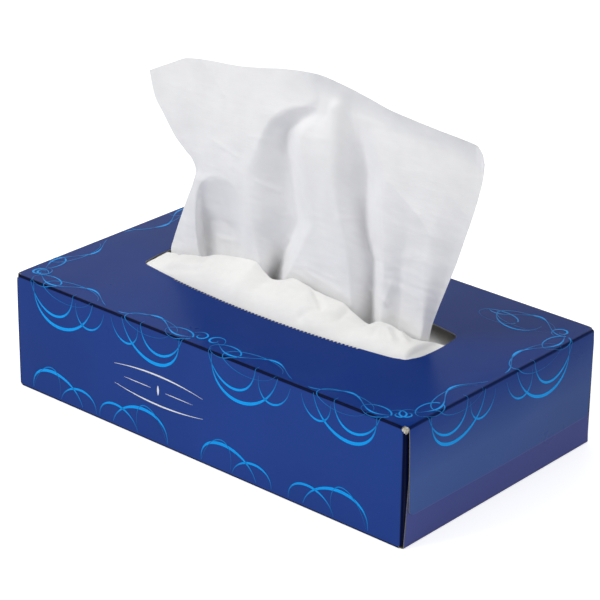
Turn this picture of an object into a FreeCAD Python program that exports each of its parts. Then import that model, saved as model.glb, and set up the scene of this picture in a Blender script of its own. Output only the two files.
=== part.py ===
import FreeCAD, Part
import math
import os
import Sketcher
from FreeCAD import Vector

# A carton of facial tissues, lying on its bottom panel, with a tissue pulled half out of it.
# Millimetres. X runs along the length, the front panel faces -Y, and Z is up from the table.
# The origin is the middle of the bottom panel's outer face.

# Driving sizes, by name
SIZES = {
    # The folded board
    "carton_length": 230.0,
    "carton_width": 132.0,
    "carton_height": 56.0,
    "board_thickness": 0.45,
    "fold_radius": 0.8,
    "fold_run": 0.7,
    "layer_gap": 0.1,
    # The lap seam in the back panel
    "glue_flap_height": 15.0,
    "seam_drop": 0.6,
    # The end flaps, counted from the edge that each one folds at
    "top_flap_height": 41.5,
    "top_flap_inset": 1.0,
    "top_flap_taper": 1.4,
    "flap_corner_radius": 3.5,
    "bottom_flap_height": 42.0,
    "bottom_flap_inset": 1.0,
    "bottom_flap_taper": 3.0,
    "dust_flap_length": 52.0,
    "dust_flap_inset": 0.7,
    "dust_flap_taper": 6.0,
    # The opening torn out of the top panel
    "opening_length": 159.8,
    "opening_width": 49.8,
    "opening_shift": -2.2,
    "opening_long_radius": 420.0,
    "opening_end_radius": 78.0,
    "opening_corner_radius": 5.0,
    "opening_sharp_radius": 3.5,
    "opening_blunt_radius": 12.0,
    # The torn perforation along the opening's long edges
    "perforation_reach": 54.0,
    "tooth_pitch": 2.0,
    "notch_width": 1.3,
    "notch_depth": 0.55,
    # The stack of folded tissues, by the room that it leaves inside the carton
    "stack_left_room": 9.0,
    "stack_right_room": 15.0,
    "stack_side_room": 6.0,
    "stack_end_headroom": 13.0,
    "stack_crown": 7.0,
    "stack_corner_radius": 2.5,
    # The soft tissues in the opening
    "sheet_thickness": 0.9,
    "tissue_gap": 0.3,
    "tail_depth": 12.0,
    "hem_rise": 94.0,
    "hem_wave": 14.5,
    "hem_left_reach": 88.0,
    "hem_right_reach": 95.0,
    "neck_inset": 4.0,
    "waist_depth": 23.0,
    "sheet_slant": 6.0,
    "fold_depth": 6.5,
    "fold_bend": 1.6,
    "edge_clearance": 1.2,
    "puff_inset": 10.0,
    "puff_depth": 30.0,
    "puff_height": 7.5,
    "puff_rim": 0.6,
}


class Size:
    """A length: its value, and the spreadsheet expression that gives it."""

    def __init__(self, value, text):
        self.value = value
        self.text = text

    def combine(self, other, sign, value):
        other_text = other.text if isinstance(other, Size) else repr(other)
        return Size(value, f"({self.text} {sign} {other_text})")

    def __add__(self, other):
        return self.combine(other, "+", self.value + number(other))

    def __sub__(self, other):
        return self.combine(other, "-", self.value - number(other))

    def __mul__(self, other):
        return self.combine(other, "*", self.value * number(other))

    def __truediv__(self, other):
        return self.combine(other, "/", self.value / number(other))

    def __neg__(self):
        return Size(-self.value, f"(0 - {self.text})")


def number(item):
    return item.value if isinstance(item, Size) else item


ZERO = Size(0.0, "0")


def make_sheet(doc):
    """Writes the driving sizes into a spreadsheet, one row each, and returns them by name."""
    sheet = doc.addObject("Spreadsheet::Sheet", "Sizes")
    for row, (name, value) in enumerate(SIZES.items(), start=1):
        sheet.set(f"A{row}", name)
        sheet.set(f"B{row}", str(value))
        sheet.setAlias(f"B{row}", name)
    doc.recompute()
    return {name: Size(float(sheet.get(name)), f"Sizes.{name}") for name in SIZES}


# Sketches

def new_sketch(body, name, plane, origin=(ZERO, ZERO, ZERO)):
    """A sketch on one of the body's own origin planes, moved to the origin given in its frame."""
    sketch = body.newObject("Sketcher::SketchObject", name)
    support = next(f for f in body.Origin.OriginFeatures if f.Role == plane)
    sketch.AttachmentSupport = (support, "")
    sketch.MapMode = "FlatFace"
    sketch.AttachmentOffset.Base = Vector(*(part.value for part in origin))
    for axis, part in zip("xyz", origin):
        sketch.setExpression(f"AttachmentOffset.Base.{axis}", part.text)
    return sketch


def pin_point(sketch, geometry, position, across, up):
    """Holds a point of the sketch at its distances from the sketch's axes."""
    places = (("DistanceX", -2, across), ("DistanceY", -1, up))
    for kind, axis, place in places:
        if place is ZERO:
            sketch.addConstraint(Sketcher.Constraint("PointOnObject", geometry, position, axis))
            continue
        index = sketch.addConstraint(
            Sketcher.Constraint(kind, -1, 1, geometry, position, place.value))
        sketch.setExpression(f"Constraints[{index}]", place.text)


def hold_radius(sketch, geometry, radius):
    index = sketch.addConstraint(Sketcher.Constraint("Radius", geometry, radius.value))
    sketch.setExpression(f"Constraints[{index}]", radius.text)


def round_corner(before, tip, after, radius):
    """Where a corner's arc starts, peaks and ends between its two runs."""
    back = (before - tip).normalize()
    ahead = (after - tip).normalize()
    half = back.getAngle(ahead) / 2
    cut = radius / math.tan(half)
    centre = tip + (back + ahead).normalize() * (radius / math.sin(half))
    peak = centre + (tip - centre).normalize() * radius
    return tip + back * cut, peak, tip + ahead * cut


def turns_left(before, tip, after):
    return (tip - before).cross(after - tip).z > 0


def draw_outline(sketch, corners):
    """A closed outline of straight runs. A corner is (across, up, radius), sharp without a radius."""
    tips = [Vector(across.value, up.value, 0) for across, up, radius in corners]
    count = len(corners)
    around = [(tips[i - 1], tips[i], tips[(i + 1) % count]) for i in range(count)]
    bends = [
        round_corner(*three, radius.value) if radius else (three[1],) * 3
        for three, (across, up, radius) in zip(around, corners)
    ]
    runs = [
        sketch.addGeometry(Part.LineSegment(bends[i][2], bends[(i + 1) % count][0]), False)
        for i in range(count)
    ]
    for i, (across, up, radius) in enumerate(corners):
        before, after = runs[i - 1], runs[i]
        if radius is None:
            sketch.addConstraint(Sketcher.Constraint("Coincident", before, 2, after, 1))
            pin_point(sketch, after, 1, across, up)
            continue
        bend = sketch.addGeometry(Part.Arc(*bends[i]), False)
        first, last = (1, 2) if turns_left(*around[i]) else (2, 1)
        sketch.addConstraint(Sketcher.Constraint("Tangent", before, 2, bend, first))
        sketch.addConstraint(Sketcher.Constraint("Tangent", bend, last, after, 1))
        hold_radius(sketch, bend, radius)
        tip = sketch.addGeometry(Part.Point(tips[i]), True)
        sketch.addConstraint(Sketcher.Constraint("PointOnObject", tip, 1, before))
        sketch.addConstraint(Sketcher.Constraint("PointOnObject", tip, 1, after))
        pin_point(sketch, tip, 1, across, up)


def corner_arc(circle, next_circle, radius, outward):
    """The arc of that radius that lies inside both circles and touches them, towards outward."""
    (c1, r1), (c2, r2) = circle, next_circle
    reach1, reach2 = r1 - radius, r2 - radius
    apart = (c2 - c1).Length
    along = (reach1 ** 2 - reach2 ** 2 + apart ** 2) / (2 * apart)
    aside = math.sqrt(reach1 ** 2 - along ** 2)
    axis = (c2 - c1).normalize()
    side = Vector(-axis.y, axis.x, 0)
    middle = c1 + axis * along
    centre = max((middle + side * aside, middle - side * aside), key=lambda p: p.dot(outward))
    start = c1 + (centre - c1).normalize() * r1
    end = c2 + (centre - c2).normalize() * r2
    top = centre + ((start + end) * 0.5 - centre).normalize() * radius
    return start, top, end


def draw_barrel(sketch, half_length, half_width, long_radius, end_radius, corners):
    """A closed outline of four bowed sides, counter-clockwise from the front one."""
    circles = [
        (ZERO, long_radius - half_width, long_radius),
        (half_length - end_radius, ZERO, end_radius),
        (ZERO, half_width - long_radius, long_radius),
        (end_radius - half_length, ZERO, end_radius),
    ]
    solid = [(Vector(x.value, y.value, 0), radius.value) for x, y, radius in circles]
    outward = [Vector(1, -1, 0), Vector(1, 1, 0), Vector(-1, 1, 0), Vector(-1, -1, 0)]
    bends = [
        corner_arc(solid[i], solid[(i + 1) % 4], corners[i].value, outward[i]) for i in range(4)
    ]
    sides = []
    for i, (centre, radius) in enumerate(solid):
        start, end = bends[i - 1][2], bends[i][0]
        middle = centre + ((start + end) * 0.5 - centre).normalize() * radius
        sides.append(sketch.addGeometry(Part.Arc(start, middle, end), False))
    for i in range(4):
        bend = sketch.addGeometry(Part.Arc(*bends[i]), False)
        sketch.addConstraint(Sketcher.Constraint("Tangent", sides[i], 2, bend, 1))
        sketch.addConstraint(Sketcher.Constraint("Tangent", bend, 2, sides[(i + 1) % 4], 1))
        hold_radius(sketch, bend, corners[i])
    for side, (across, up, radius) in zip(sides, circles):
        pin_point(sketch, side, 3, across, up)
        hold_radius(sketch, side, radius)


# Features

def pad(body, name, sketch, length, midplane=False, reverse=False):
    feature = body.newObject("PartDesign::Pad", name)
    feature.Profile = sketch
    feature.setExpression("Length", length.text)
    feature.Midplane = midplane
    feature.Reversed = reverse
    sketch.Visibility = False
    return feature


def new_body(doc, name):
    body = doc.addObject("PartDesign::Body", name)
    body.Label = name
    return body


def make_carton(doc, s):
    """The folded board blank: a sleeve with a lap seam, closed at each end by four flaps."""
    body = new_body(doc, "carton")
    layer = s["board_thickness"] + s["layer_gap"]
    end = s["carton_length"] / 2
    bottom_flap_face = end - layer
    dust_flap_face = bottom_flap_face - layer
    sleeve_end = dust_flap_face - s["fold_radius"] - s["fold_run"]
    build_sleeve(body, s, sleeve_end)
    features = build_top_flap(body, s, end, sleeve_end)
    features += build_bottom_flap(body, s, bottom_flap_face, sleeve_end)
    features += build_dust_flaps(body, s, dust_flap_face, sleeve_end)
    doc.recompute()
    other_end = body.newObject("PartDesign::Mirrored", "left_end_flaps")
    other_end.Originals = features
    mirror_plane = next(f for f in body.Origin.OriginFeatures if f.Role == "YZ_Plane")
    other_end.MirrorPlane = (mirror_plane, [""])
    body.Tip = other_end
    doc.recompute()
    cut_opening(doc, body, s)
    tear_perforation(doc, body, s, "front_edge", -1)
    tear_perforation(doc, body, s, "back_edge", 1)
    return body


def build_sleeve(body, s, sleeve_end):
    """The four panels and the glue flap, as the section of one folded strip of board."""
    board, radius, gap = s["board_thickness"], s["fold_radius"], s["layer_gap"]
    inner_radius = radius - board
    front, back = -s["carton_width"] / 2, s["carton_width"] / 2
    top = s["carton_height"]
    glue_face = back - board - gap
    seam, glue_end = top - s["seam_drop"], top - s["glue_flap_height"]
    section = new_sketch(body, "sleeve_section", "YZ_Plane")
    draw_outline(section, [
        (back, seam, None),
        (back - board, seam, None),
        (back - board, board, inner_radius),
        (front + board, board, inner_radius),
        (front + board, top - board, inner_radius),
        (glue_face - board, top - board, inner_radius),
        (glue_face - board, glue_end, None),
        (glue_face, glue_end, None),
        (glue_face, top, radius),
        (front, top, radius),
        (front, ZERO, radius),
        (back, ZERO, radius),
    ])
    return pad(body, "sleeve", section, sleeve_end * 2, midplane=True)


def build_top_flap(body, s, face, sleeve_end):
    """The outermost flap of the right end, folded down from the top panel."""
    board, radius = s["board_thickness"], s["fold_radius"]
    top = s["carton_height"]
    half_width = s["carton_width"] / 2 - s["top_flap_inset"]
    crease = top - radius - s["fold_run"]
    fold = new_sketch(body, "top_flap_fold_section", "XZ_Plane")
    draw_outline(fold, [
        (sleeve_end, top, None),
        (sleeve_end, top - board, None),
        (face - board, top - board, radius - board),
        (face - board, crease, None),
        (face, crease, None),
        (face, top, radius),
    ])
    bend = pad(body, "top_flap_fold", fold, half_width * 2, midplane=True)
    outline = new_sketch(body, "top_flap_outline", "YZ_Plane", (ZERO, ZERO, face))
    narrow = half_width - s["top_flap_taper"]
    low = top - s["top_flap_height"]
    draw_outline(outline, [
        (half_width, crease, None),
        (-half_width, crease, None),
        (-narrow, low, s["flap_corner_radius"]),
        (narrow, low, s["flap_corner_radius"]),
    ])
    return [bend, pad(body, "top_flap", outline, board, reverse=True)]


def build_bottom_flap(body, s, face, sleeve_end):
    """The flap under the outermost one, folded up from the bottom panel."""
    board, radius = s["board_thickness"], s["fold_radius"]
    half_width = s["carton_width"] / 2 - s["bottom_flap_inset"]
    crease = radius + s["fold_run"]
    fold = new_sketch(body, "bottom_flap_fold_section", "XZ_Plane")
    draw_outline(fold, [
        (sleeve_end, ZERO, None),
        (face, ZERO, radius),
        (face, crease, None),
        (face - board, crease, None),
        (face - board, board, radius - board),
        (sleeve_end, board, None),
    ])
    bend = pad(body, "bottom_flap_fold", fold, half_width * 2, midplane=True)
    outline = new_sketch(body, "bottom_flap_outline", "YZ_Plane", (ZERO, ZERO, face))
    narrow = half_width - s["bottom_flap_taper"]
    draw_outline(outline, [
        (-half_width, crease, None),
        (half_width, crease, None),
        (narrow, s["bottom_flap_height"], s["flap_corner_radius"]),
        (-narrow, s["bottom_flap_height"], s["flap_corner_radius"]),
    ])
    return [bend, pad(body, "bottom_flap", outline, board, reverse=True)]


def build_dust_flaps(body, s, face, sleeve_end):
    """The two innermost flaps of the right end, folded in from the front and back panels."""
    board, radius = s["board_thickness"], s["fold_radius"]
    low = radius + s["dust_flap_inset"]
    high = s["carton_height"] - radius - s["dust_flap_inset"]
    fold = new_sketch(body, "dust_flap_fold_section", "XY_Plane", (ZERO, ZERO, low))
    outline = new_sketch(body, "dust_flap_outline", "YZ_Plane", (ZERO, ZERO, face))
    for sign in (-1, 1):
        wall = s["carton_width"] / 2 * sign
        crease = wall - (radius + s["fold_run"]) * sign
        draw_outline(fold, [
            (sleeve_end, wall, None),
            (face, wall, radius),
            (face, crease, None),
            (face - board, crease, None),
            (face - board, wall - board * sign, radius - board),
            (sleeve_end, wall - board * sign, None),
        ])
        tip = wall - s["dust_flap_length"] * sign
        draw_outline(outline, [
            (crease, low, None),
            (crease, high, None),
            (tip, high - s["dust_flap_taper"], s["flap_corner_radius"]),
            (tip, low + s["dust_flap_taper"], s["flap_corner_radius"]),
        ])
    bends = pad(body, "dust_flap_folds", fold, high - low)
    return [bends, pad(body, "dust_flaps", outline, board, reverse=True)]


def cut_opening(doc, body, s):
    """The barrel-shaped opening, sharper at its front left corner than at its front right one."""
    whole = body.Shape.Volume
    outline = new_sketch(
        body, "opening_outline", "XY_Plane", (s["opening_shift"], ZERO, s["carton_height"]))
    corner = s["opening_corner_radius"]
    draw_barrel(
        outline, s["opening_length"] / 2, s["opening_width"] / 2,
        s["opening_long_radius"], s["opening_end_radius"],
        [s["opening_blunt_radius"], corner, corner, s["opening_sharp_radius"]])
    opening = body.newObject("PartDesign::Pocket", "opening")
    opening.Profile = outline
    opening.setExpression("Length", (s["board_thickness"] * 2).text)
    outline.Visibility = False
    doc.recompute()
    if body.Shape.Volume >= whole:
        raise RuntimeError("the opening cuts nothing out of the top panel")


def tear_perforation(doc, body, s, name, side):
    """The notches between the teeth that the torn perforation left along one long edge."""
    whole = body.Shape.Volume
    radius = s["opening_long_radius"]
    centre = (radius - s["opening_width"] / 2) * -side
    notch = new_sketch(
        body, f"{name}_notch", "XY_Plane", (s["opening_shift"], centre, s["carton_height"]))
    half_angle = math.degrees(s["perforation_reach"].value / radius.value)
    notch.AttachmentOffset.Rotation = FreeCAD.Rotation(Vector(0, 0, 1), -half_angle)
    wide, deep = s["notch_width"] / 2, s["notch_depth"]
    draw_outline(notch, [
        (-wide, (radius - deep) * side, None),
        (-wide / 2, (radius + deep) * side, None),
        (wide / 2, (radius + deep) * side, None),
        (wide, (radius - deep) * side, None),
    ])
    cut = body.newObject("PartDesign::Pocket", f"{name}_notch_cut")
    cut.Profile = notch
    cut.setExpression("Length", (s["board_thickness"] * 2).text)
    notch.Visibility = False
    doc.recompute()
    teeth = body.newObject("PartDesign::PolarPattern", f"{name}_teeth")
    teeth.Originals = [cut]
    teeth.Axis = (notch, ["N_Axis"])
    teeth.Angle = 2 * half_angle
    teeth.Occurrences = int(2 * s["perforation_reach"].value / s["tooth_pitch"].value) + 1
    body.Tip = teeth
    doc.recompute()
    if body.Shape.Volume >= whole:
        raise RuntimeError(f"{name} cuts nothing out of the top panel")


def make_stack(doc, s):
    """The pile of folded tissues, on the bottom panel, crowned where it springs up."""
    body = new_body(doc, "tissue_stack")
    left, right = stack_ends(s)
    base, shoulder = s["board_thickness"], s["carton_height"] - s["stack_end_headroom"]
    profile = new_sketch(body, "stack_profile", "XZ_Plane")
    crest = Vector((left + right).value / 2, (shoulder + s["stack_crown"]).value, 0)
    corners = [
        Vector(right.value, shoulder.value, 0), Vector(left.value, shoulder.value, 0),
        Vector(left.value, base.value, 0), Vector(right.value, base.value, 0),
    ]
    arc = profile.addGeometry(Part.Arc(corners[0], crest, corners[1]), False)
    lines = [
        profile.addGeometry(Part.LineSegment(corners[i], corners[(i + 1) % 4]), False)
        for i in (1, 2, 3)
    ]
    loop = [arc] + lines
    for before, after in zip(loop, loop[1:] + loop[:1]):
        profile.addConstraint(Sketcher.Constraint("Coincident", before, 2, after, 1))
    pin_point(profile, arc, 1, right, shoulder)
    pin_point(profile, lines[0], 1, left, shoulder)
    pin_point(profile, lines[1], 1, left, base)
    pin_point(profile, lines[2], 1, right, base)
    hold_radius(profile, arc, crown_radius(s))
    width = s["carton_width"] - s["stack_side_room"] * 2
    pile = pad(body, "stack_pile", profile, width, midplane=True)
    doc.recompute()
    edges = [
        f"Edge{i}" for i, edge in enumerate(pile.Shape.Edges, start=1)
        if abs(edge.Vertexes[0].Z - edge.Vertexes[-1].Z) > shoulder.value / 2
    ]
    rounding = body.newObject("PartDesign::Fillet", "stack_corners")
    rounding.Base = (pile, edges)
    rounding.setExpression("Radius", s["stack_corner_radius"].text)
    doc.recompute()
    return body


def stack_ends(s):
    """Where the stack ends along the carton, to the left and to the right."""
    half = s["carton_length"] / 2
    return s["stack_left_room"] - half, half - s["stack_right_room"]


def crown_radius(s):
    """The radius of the arc that rises by the crown over half of the stack's length."""
    left, right = stack_ends(s)
    half, crown = (right - left) / 2, s["stack_crown"]
    return (half * half + crown * crown) / (crown * 2)


# Soft sheets

# Levels that the standing tissue's folds pass, from its tail to above its hem: the share of the
# standing height, with the folds from left to right. A fold is a ridge or a valley: its share of
# the width, and of the fold depth, negative where it stands forward.
LEVELS = [
    (0.00, [
        (-0.01, 0.27), (0.12, -0.39), (0.166, 0.65), (0.295, -0.3), (0.355, -0.45), (0.382, 0.83),
        (0.479, -0.28), (0.66, -0.34), (0.699, 0.7), (0.784, -0.25), (0.85, 0.23), (0.943, -0.24),
        (1.02, 0.3),
    ]),
    (0.39, [
        (0.073, 0.35), (0.138, -0.43), (0.197, 0.58), (0.285, -0.46), (0.332, -0.61), (0.456, 1.05),
        (0.561, -0.25), (0.665, -0.6), (0.701, 0.89), (0.793, -0.33), (0.837, 0.18), (0.92, -0.18),
        (1.02, 0.6),
    ]),
    (0.50, [
        (0.09, -0.24), (0.151, -0.26), (0.218, -0.21), (0.28, -0.46), (0.331, -0.61), (0.44, 1.01),
        (0.539, -0.25), (0.634, -0.63), (0.675, 0.93), (0.774, -0.25), (0.839, 0.07), (0.915, -0.1),
        (1.02, 0.55),
    ]),
    (0.69, [
        (0.0, -0.72), (0.16, -0.18), (0.239, -0.29), (0.302, -0.44), (0.375, -0.63), (0.414, 0.81),
        (0.5, -0.23), (0.603, -0.62), (0.669, 0.8), (0.754, -0.14), (0.838, -0.01), (0.932, -0.01),
        (1.03, 0.46),
    ]),
    (1.00, [
        (-0.02, -0.9), (0.186, -0.25), (0.249, -0.24), (0.31, -0.3), (0.47, -0.23), (0.52, -0.18),
        (0.558, -0.14), (0.592, 0.03), (0.629, 0.12), (0.669, 0.13), (0.806, 0.17), (0.924, 0.13),
        (1.02, 0.42),
    ]),
]
# The hem along the tissue, from its mean rise: shares of the width and of the hem's wave
HEM = [
    (0.0, -0.31), (0.1, 0.33), (0.2, 0.52), (0.36, 0.79), (0.53, 1.0), (0.67, 0.65), (0.8, 0.33),
    (0.93, 0.15), (1.0, -0.25),
]
# The left edge, nipped in at the waist: shares of its height and of the waist's depth
NIP = [(0.21, 0.2), (0.43, 0.69), (0.585, 1.0), (0.66, 0.75), (0.76, 0.37), (0.88, 0.08)]
# The puff of the next tissue along the opening, as shares of the length and of the puff height
PUFFS = [(0.0, 0.0), (0.18, 0.7), (0.32, 0.5), (0.55, 1.0), (0.72, 0.7), (0.9, 0.4), (1.0, 0.0)]
PUFF_COLUMNS = 11
PUFF_ROWS = 5


def blend(low, high, share):
    return low + (high - low) * share


def eased(points, share):
    """The value at that share between the listed points, level at each of them."""
    for (start, low), (end, high) in zip(points, points[1:]):
        if share <= end:
            turn = (1 - math.cos(math.pi * (share - start) / (end - start))) / 2
            return blend(low, high, turn)
    return points[-1][1]


def steps(count):
    return [i / (count - 1) for i in range(count)]


def values(s):
    return {name: size.value for name, size in s.items()}


def stack_top(s, x):
    """The height of the crowned stack at that place along it."""
    left, right = stack_ends(s)
    radius = crown_radius(s).value
    crest = s["carton_height"] - s["stack_end_headroom"] + s["stack_crown"]
    aside = x - (left + right).value / 2
    return crest.value - radius + math.sqrt(radius ** 2 - aside ** 2)


def fold_tips(v, rise, folds):
    """The ridges and valleys of the standing tissue at one level, from left to right."""
    half_neck = v["opening_length"] / 2 - v["neck_inset"]
    left = blend(v["opening_shift"] - half_neck, -v["hem_left_reach"], rise)
    right = blend(v["opening_shift"] + half_neck, v["hem_right_reach"], rise)
    low, high = -v["tail_depth"], v["hem_rise"] + v["hem_wave"] + v["edge_clearance"]
    height = v["carton_height"] + blend(low, high, rise)
    slant, depth = v["sheet_slant"], v["fold_depth"]
    return [
        Vector(blend(left, right, share), slant * (share - 0.5) + depth * fold, height)
        for share, fold in folds
    ]


def offset_tips(tips, distance):
    """The tips of the same zigzag, moved sideways by that distance, positive towards the back."""
    moved = []
    for i, tip in enumerate(tips):
        before = (tips[i] - tips[i - 1]).normalize() if i else None
        after = (tips[i + 1] - tips[i]).normalize() if i + 1 < len(tips) else None
        along = ((before or after) + (after or before)).normalize()
        side = Vector(-along.y, along.x, 0)
        run = before or after
        moved.append(tip + side * (distance / side.dot(Vector(-run.y, run.x, 0))))
    return moved


def fold_line(tips, bend, distance):
    """Points along the offset zigzag, each tip rounded off from that length of bend before it."""
    moved = offset_tips(tips, distance)
    points = [moved[0]]
    for before, tip, after in zip(moved, moved[1:], moved[2:]):
        first = tip + (before - tip).normalize() * bend
        last = tip + (after - tip).normalize() * bend
        points += [first, (first + tip * 2 + last) * 0.25, last]
    return points + [moved[-1]]


def flat_face(points):
    return Part.Face(Part.makePolygon(points + points[:1]))


def sewn_solid(faces):
    """The solid that the faces close, turned so that its volume is positive."""
    shell = Part.Compound(faces)
    shell.sewShape()
    solid = Part.Solid(shell.Shells[0])
    if solid.Volume < 0:
        solid.reverse()
    return solid


def stacked_solid(loops, front):
    """The solid through closed loops of as many points, one above the other, in flat faces. The
    gaps past the loops' front points are halved the other way, as their points run back."""
    faces = [flat_face(loops[0]), flat_face(loops[-1])]
    for low, high in zip(loops, loops[1:]):
        for i in range(len(low)):
            near, far = (i - 1, i) if i < front else (i, i - 1)
            faces.append(flat_face([low[near], low[far], high[far]]))
            faces.append(flat_face([low[near], high[far], high[near]]))
    return sewn_solid(faces)


def folded_sheet(v, thickness):
    """The standing tissue's folds as one thick sheet, before its outline is cut."""
    loops = []
    for rise, folds in LEVELS:
        tips = fold_tips(v, rise, folds)
        front = fold_line(tips, v["fold_bend"], -thickness / 2)
        back = fold_line(tips, v["fold_bend"], thickness / 2)
        loops.append(front + back[::-1])
    return stacked_solid(loops, len(front))


def space_behind(v, distance):
    """All that lies behind a surface at that distance in front of the tissue's middle surface."""
    far = v["carton_width"]
    loops = []
    for rise, folds in LEVELS:
        tips = fold_tips(v, rise, folds)
        height = tips[0].z
        line = fold_line(tips, v["fold_bend"], -distance)
        loops.append(line + [Vector(far, far, height), Vector(-far, far, height)])
    return stacked_solid(loops, len(line))


def sheet_outline(s):
    """The standing tissue as its front view shows it, with its tail along the stack's crown."""
    v = values(s)
    half_neck = v["opening_length"] / 2 - v["neck_inset"]
    neck_left, neck_right = v["opening_shift"] - half_neck, v["opening_shift"] + half_neck
    reach_left, reach_right = -v["hem_left_reach"], v["hem_right_reach"]
    hem_height = v["carton_height"] + v["hem_rise"]
    tail = [
        Vector(x, 0, stack_top(s, x) + v["tissue_gap"])
        for x in (blend(neck_left, neck_right, share) for share in (0, 0.5, 1))
    ]
    hem = [
        Vector(blend(reach_left, reach_right, share), 0, hem_height + v["hem_wave"] * lift)
        for share, lift in HEM
    ]
    nip = [
        tail[0] + (hem[0] - tail[0]) * rise + Vector(v["waist_depth"] * share, 0, 0)
        for rise, share in NIP
    ]
    left_edge = Part.BSplineCurve()
    left_edge.interpolate([tail[0]] + nip + [hem[0]])
    hem_edge = Part.BSplineCurve()
    hem_edge.interpolate(hem)
    edges = [
        Part.Arc(*tail).toShape(),
        Part.makeLine(tail[-1], hem[-1]),
        hem_edge.toShape(),
        left_edge.toShape(),
    ]
    face = Part.Face(Part.Wire(Part.sortEdges(edges)[0]))
    deep = v["carton_width"]
    face.translate(Vector(0, -deep, 0))
    return face.extrude(Vector(0, 2 * deep, 0))


def make_pulled_tissue(doc, s):
    """The tissue that stands up out of the opening, its tail on the stack."""
    v = values(s)
    sheet = folded_sheet(v, v["sheet_thickness"]).common(sheet_outline(s))
    return add_soft(doc, "pulled_tissue", sheet)


def puff_surface(s, tops):
    """A grid of points over the opening in front of the standing tissue, on the puff or under it."""
    v = values(s)
    centre = v["opening_long_radius"] - v["opening_width"] / 2
    half = v["opening_length"] / 2 - v["puff_inset"]
    rows = []
    for share in steps(PUFF_COLUMNS):
        aside = blend(-half, half, share)
        x = v["opening_shift"] + aside
        front = centre - math.sqrt(v["opening_long_radius"] ** 2 - aside ** 2)
        front += v["edge_clearance"]
        rim = v["carton_height"] + v["puff_rim"]
        row = []
        for deep in steps(PUFF_ROWS):
            lift = v["puff_height"] * eased(PUFFS, share) * math.sin(math.pi * 0.7 * deep)
            height = rim + lift if tops else stack_top(s, x) + v["tissue_gap"]
            row.append(Vector(x, blend(front, v["puff_depth"] + front, deep), height))
        rows.append(row)
    surface = Part.BSplineSurface()
    surface.interpolate(rows)
    return surface


def make_next_tissue(doc, s):
    """The next tissue, puffed up in the opening in front of the standing one."""
    v = values(s)
    top, under = puff_surface(s, True), puff_surface(s, False)
    faces = [top.toShape(), under.toShape()]
    u_low, u_high, v_low, v_high = top.bounds()
    for u in (u_low, u_high):
        faces.append(Part.makeRuledSurface(top.uIso(u).toShape(), under.uIso(u).toShape()))
    for v_end in (v_low, v_high):
        faces.append(Part.makeRuledSurface(top.vIso(v_end).toShape(), under.vIso(v_end).toShape()))
    puff = sewn_solid(faces).cut(space_behind(v, v["sheet_thickness"] / 2 + v["tissue_gap"]))
    return add_soft(doc, "next_tissue", max(puff.Solids, key=lambda part: part.Volume))


def add_soft(doc, name, solid):
    feature = doc.addObject("Part::Feature", name)
    feature.Label = name
    feature.Shape = solid
    feature.Placement = FreeCAD.Placement()
    return feature


def check_document(doc, parts):
    for item in doc.Objects:
        if "Invalid" in item.State or "Error" in item.State:
            raise RuntimeError(f"{item.Label} did not build")
    for item in parts:
        if item.Shape.isNull() or not item.Shape.isValid() or len(item.Shape.Solids) != 1:
            raise RuntimeError(f"{item.Label} is not one valid solid")


def main():
    os.makedirs("parts", exist_ok=True)
    doc = FreeCAD.newDocument("tissue_box")
    sizes = make_sheet(doc)
    parts = [
        make_carton(doc, sizes),
        make_stack(doc, sizes),
        make_next_tissue(doc, sizes),
        make_pulled_tissue(doc, sizes),
    ]
    doc.recompute()
    check_document(doc, parts)
    for item in parts:
        item.Shape.exportStep(f"parts/{item.Label}.step")
        box = item.Shape.BoundBox
        print(f"{item.Label}: {item.Shape.Volume:.0f} mm3, from {box.XMin:.2f} {box.YMin:.2f} "
              f"{box.ZMin:.2f} to {box.XMax:.2f} {box.YMax:.2f} {box.ZMax:.2f}")


main()
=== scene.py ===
"""A printed folding carton of paper tissues, with one tissue pulled up through the torn opening and the next
one swelling up in front of it.

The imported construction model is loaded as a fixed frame, and every piece here is built around it in the same
place. Tables of lengths are in millimetres; what is handed to Blender is in metres.
"""
import math

import bmesh
import bpy
import numpy as np
from bpy.props import FloatProperty, FloatVectorProperty, IntProperty, PointerProperty
from mathutils import Matrix, Vector, noise
from mathutils.geometry import delaunay_2d_cdt


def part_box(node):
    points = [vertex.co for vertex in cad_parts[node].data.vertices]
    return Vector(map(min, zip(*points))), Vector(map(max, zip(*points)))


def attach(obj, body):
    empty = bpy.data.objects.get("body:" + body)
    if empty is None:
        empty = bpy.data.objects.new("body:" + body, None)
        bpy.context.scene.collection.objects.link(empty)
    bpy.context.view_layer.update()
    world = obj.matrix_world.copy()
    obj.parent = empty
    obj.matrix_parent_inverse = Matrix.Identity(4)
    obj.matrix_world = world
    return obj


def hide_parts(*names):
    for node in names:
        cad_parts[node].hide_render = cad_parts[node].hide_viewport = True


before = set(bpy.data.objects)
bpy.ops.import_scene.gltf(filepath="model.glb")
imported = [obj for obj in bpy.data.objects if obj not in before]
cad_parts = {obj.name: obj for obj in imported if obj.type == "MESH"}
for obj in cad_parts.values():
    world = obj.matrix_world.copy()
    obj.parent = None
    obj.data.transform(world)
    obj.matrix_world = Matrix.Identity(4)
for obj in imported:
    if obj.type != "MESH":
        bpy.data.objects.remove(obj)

bl_info = {
    "name": "Tissue Box Maker",
    "version": (1, 0, 0),
    "blender": (4, 5, 0),
    "location": "View3D > Sidebar > Tissue Box",
    "description": "Builds a printed carton of paper tissues around its construction model",
    "category": "Add Mesh",
}

MM = 0.001
CARTON_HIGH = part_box("carton")[1]
HALF_LENGTH = CARTON_HIGH.x / MM
HALF_WIDTH = CARTON_HIGH.y / MM
HEIGHT = CARTON_HIGH.z / MM

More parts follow.
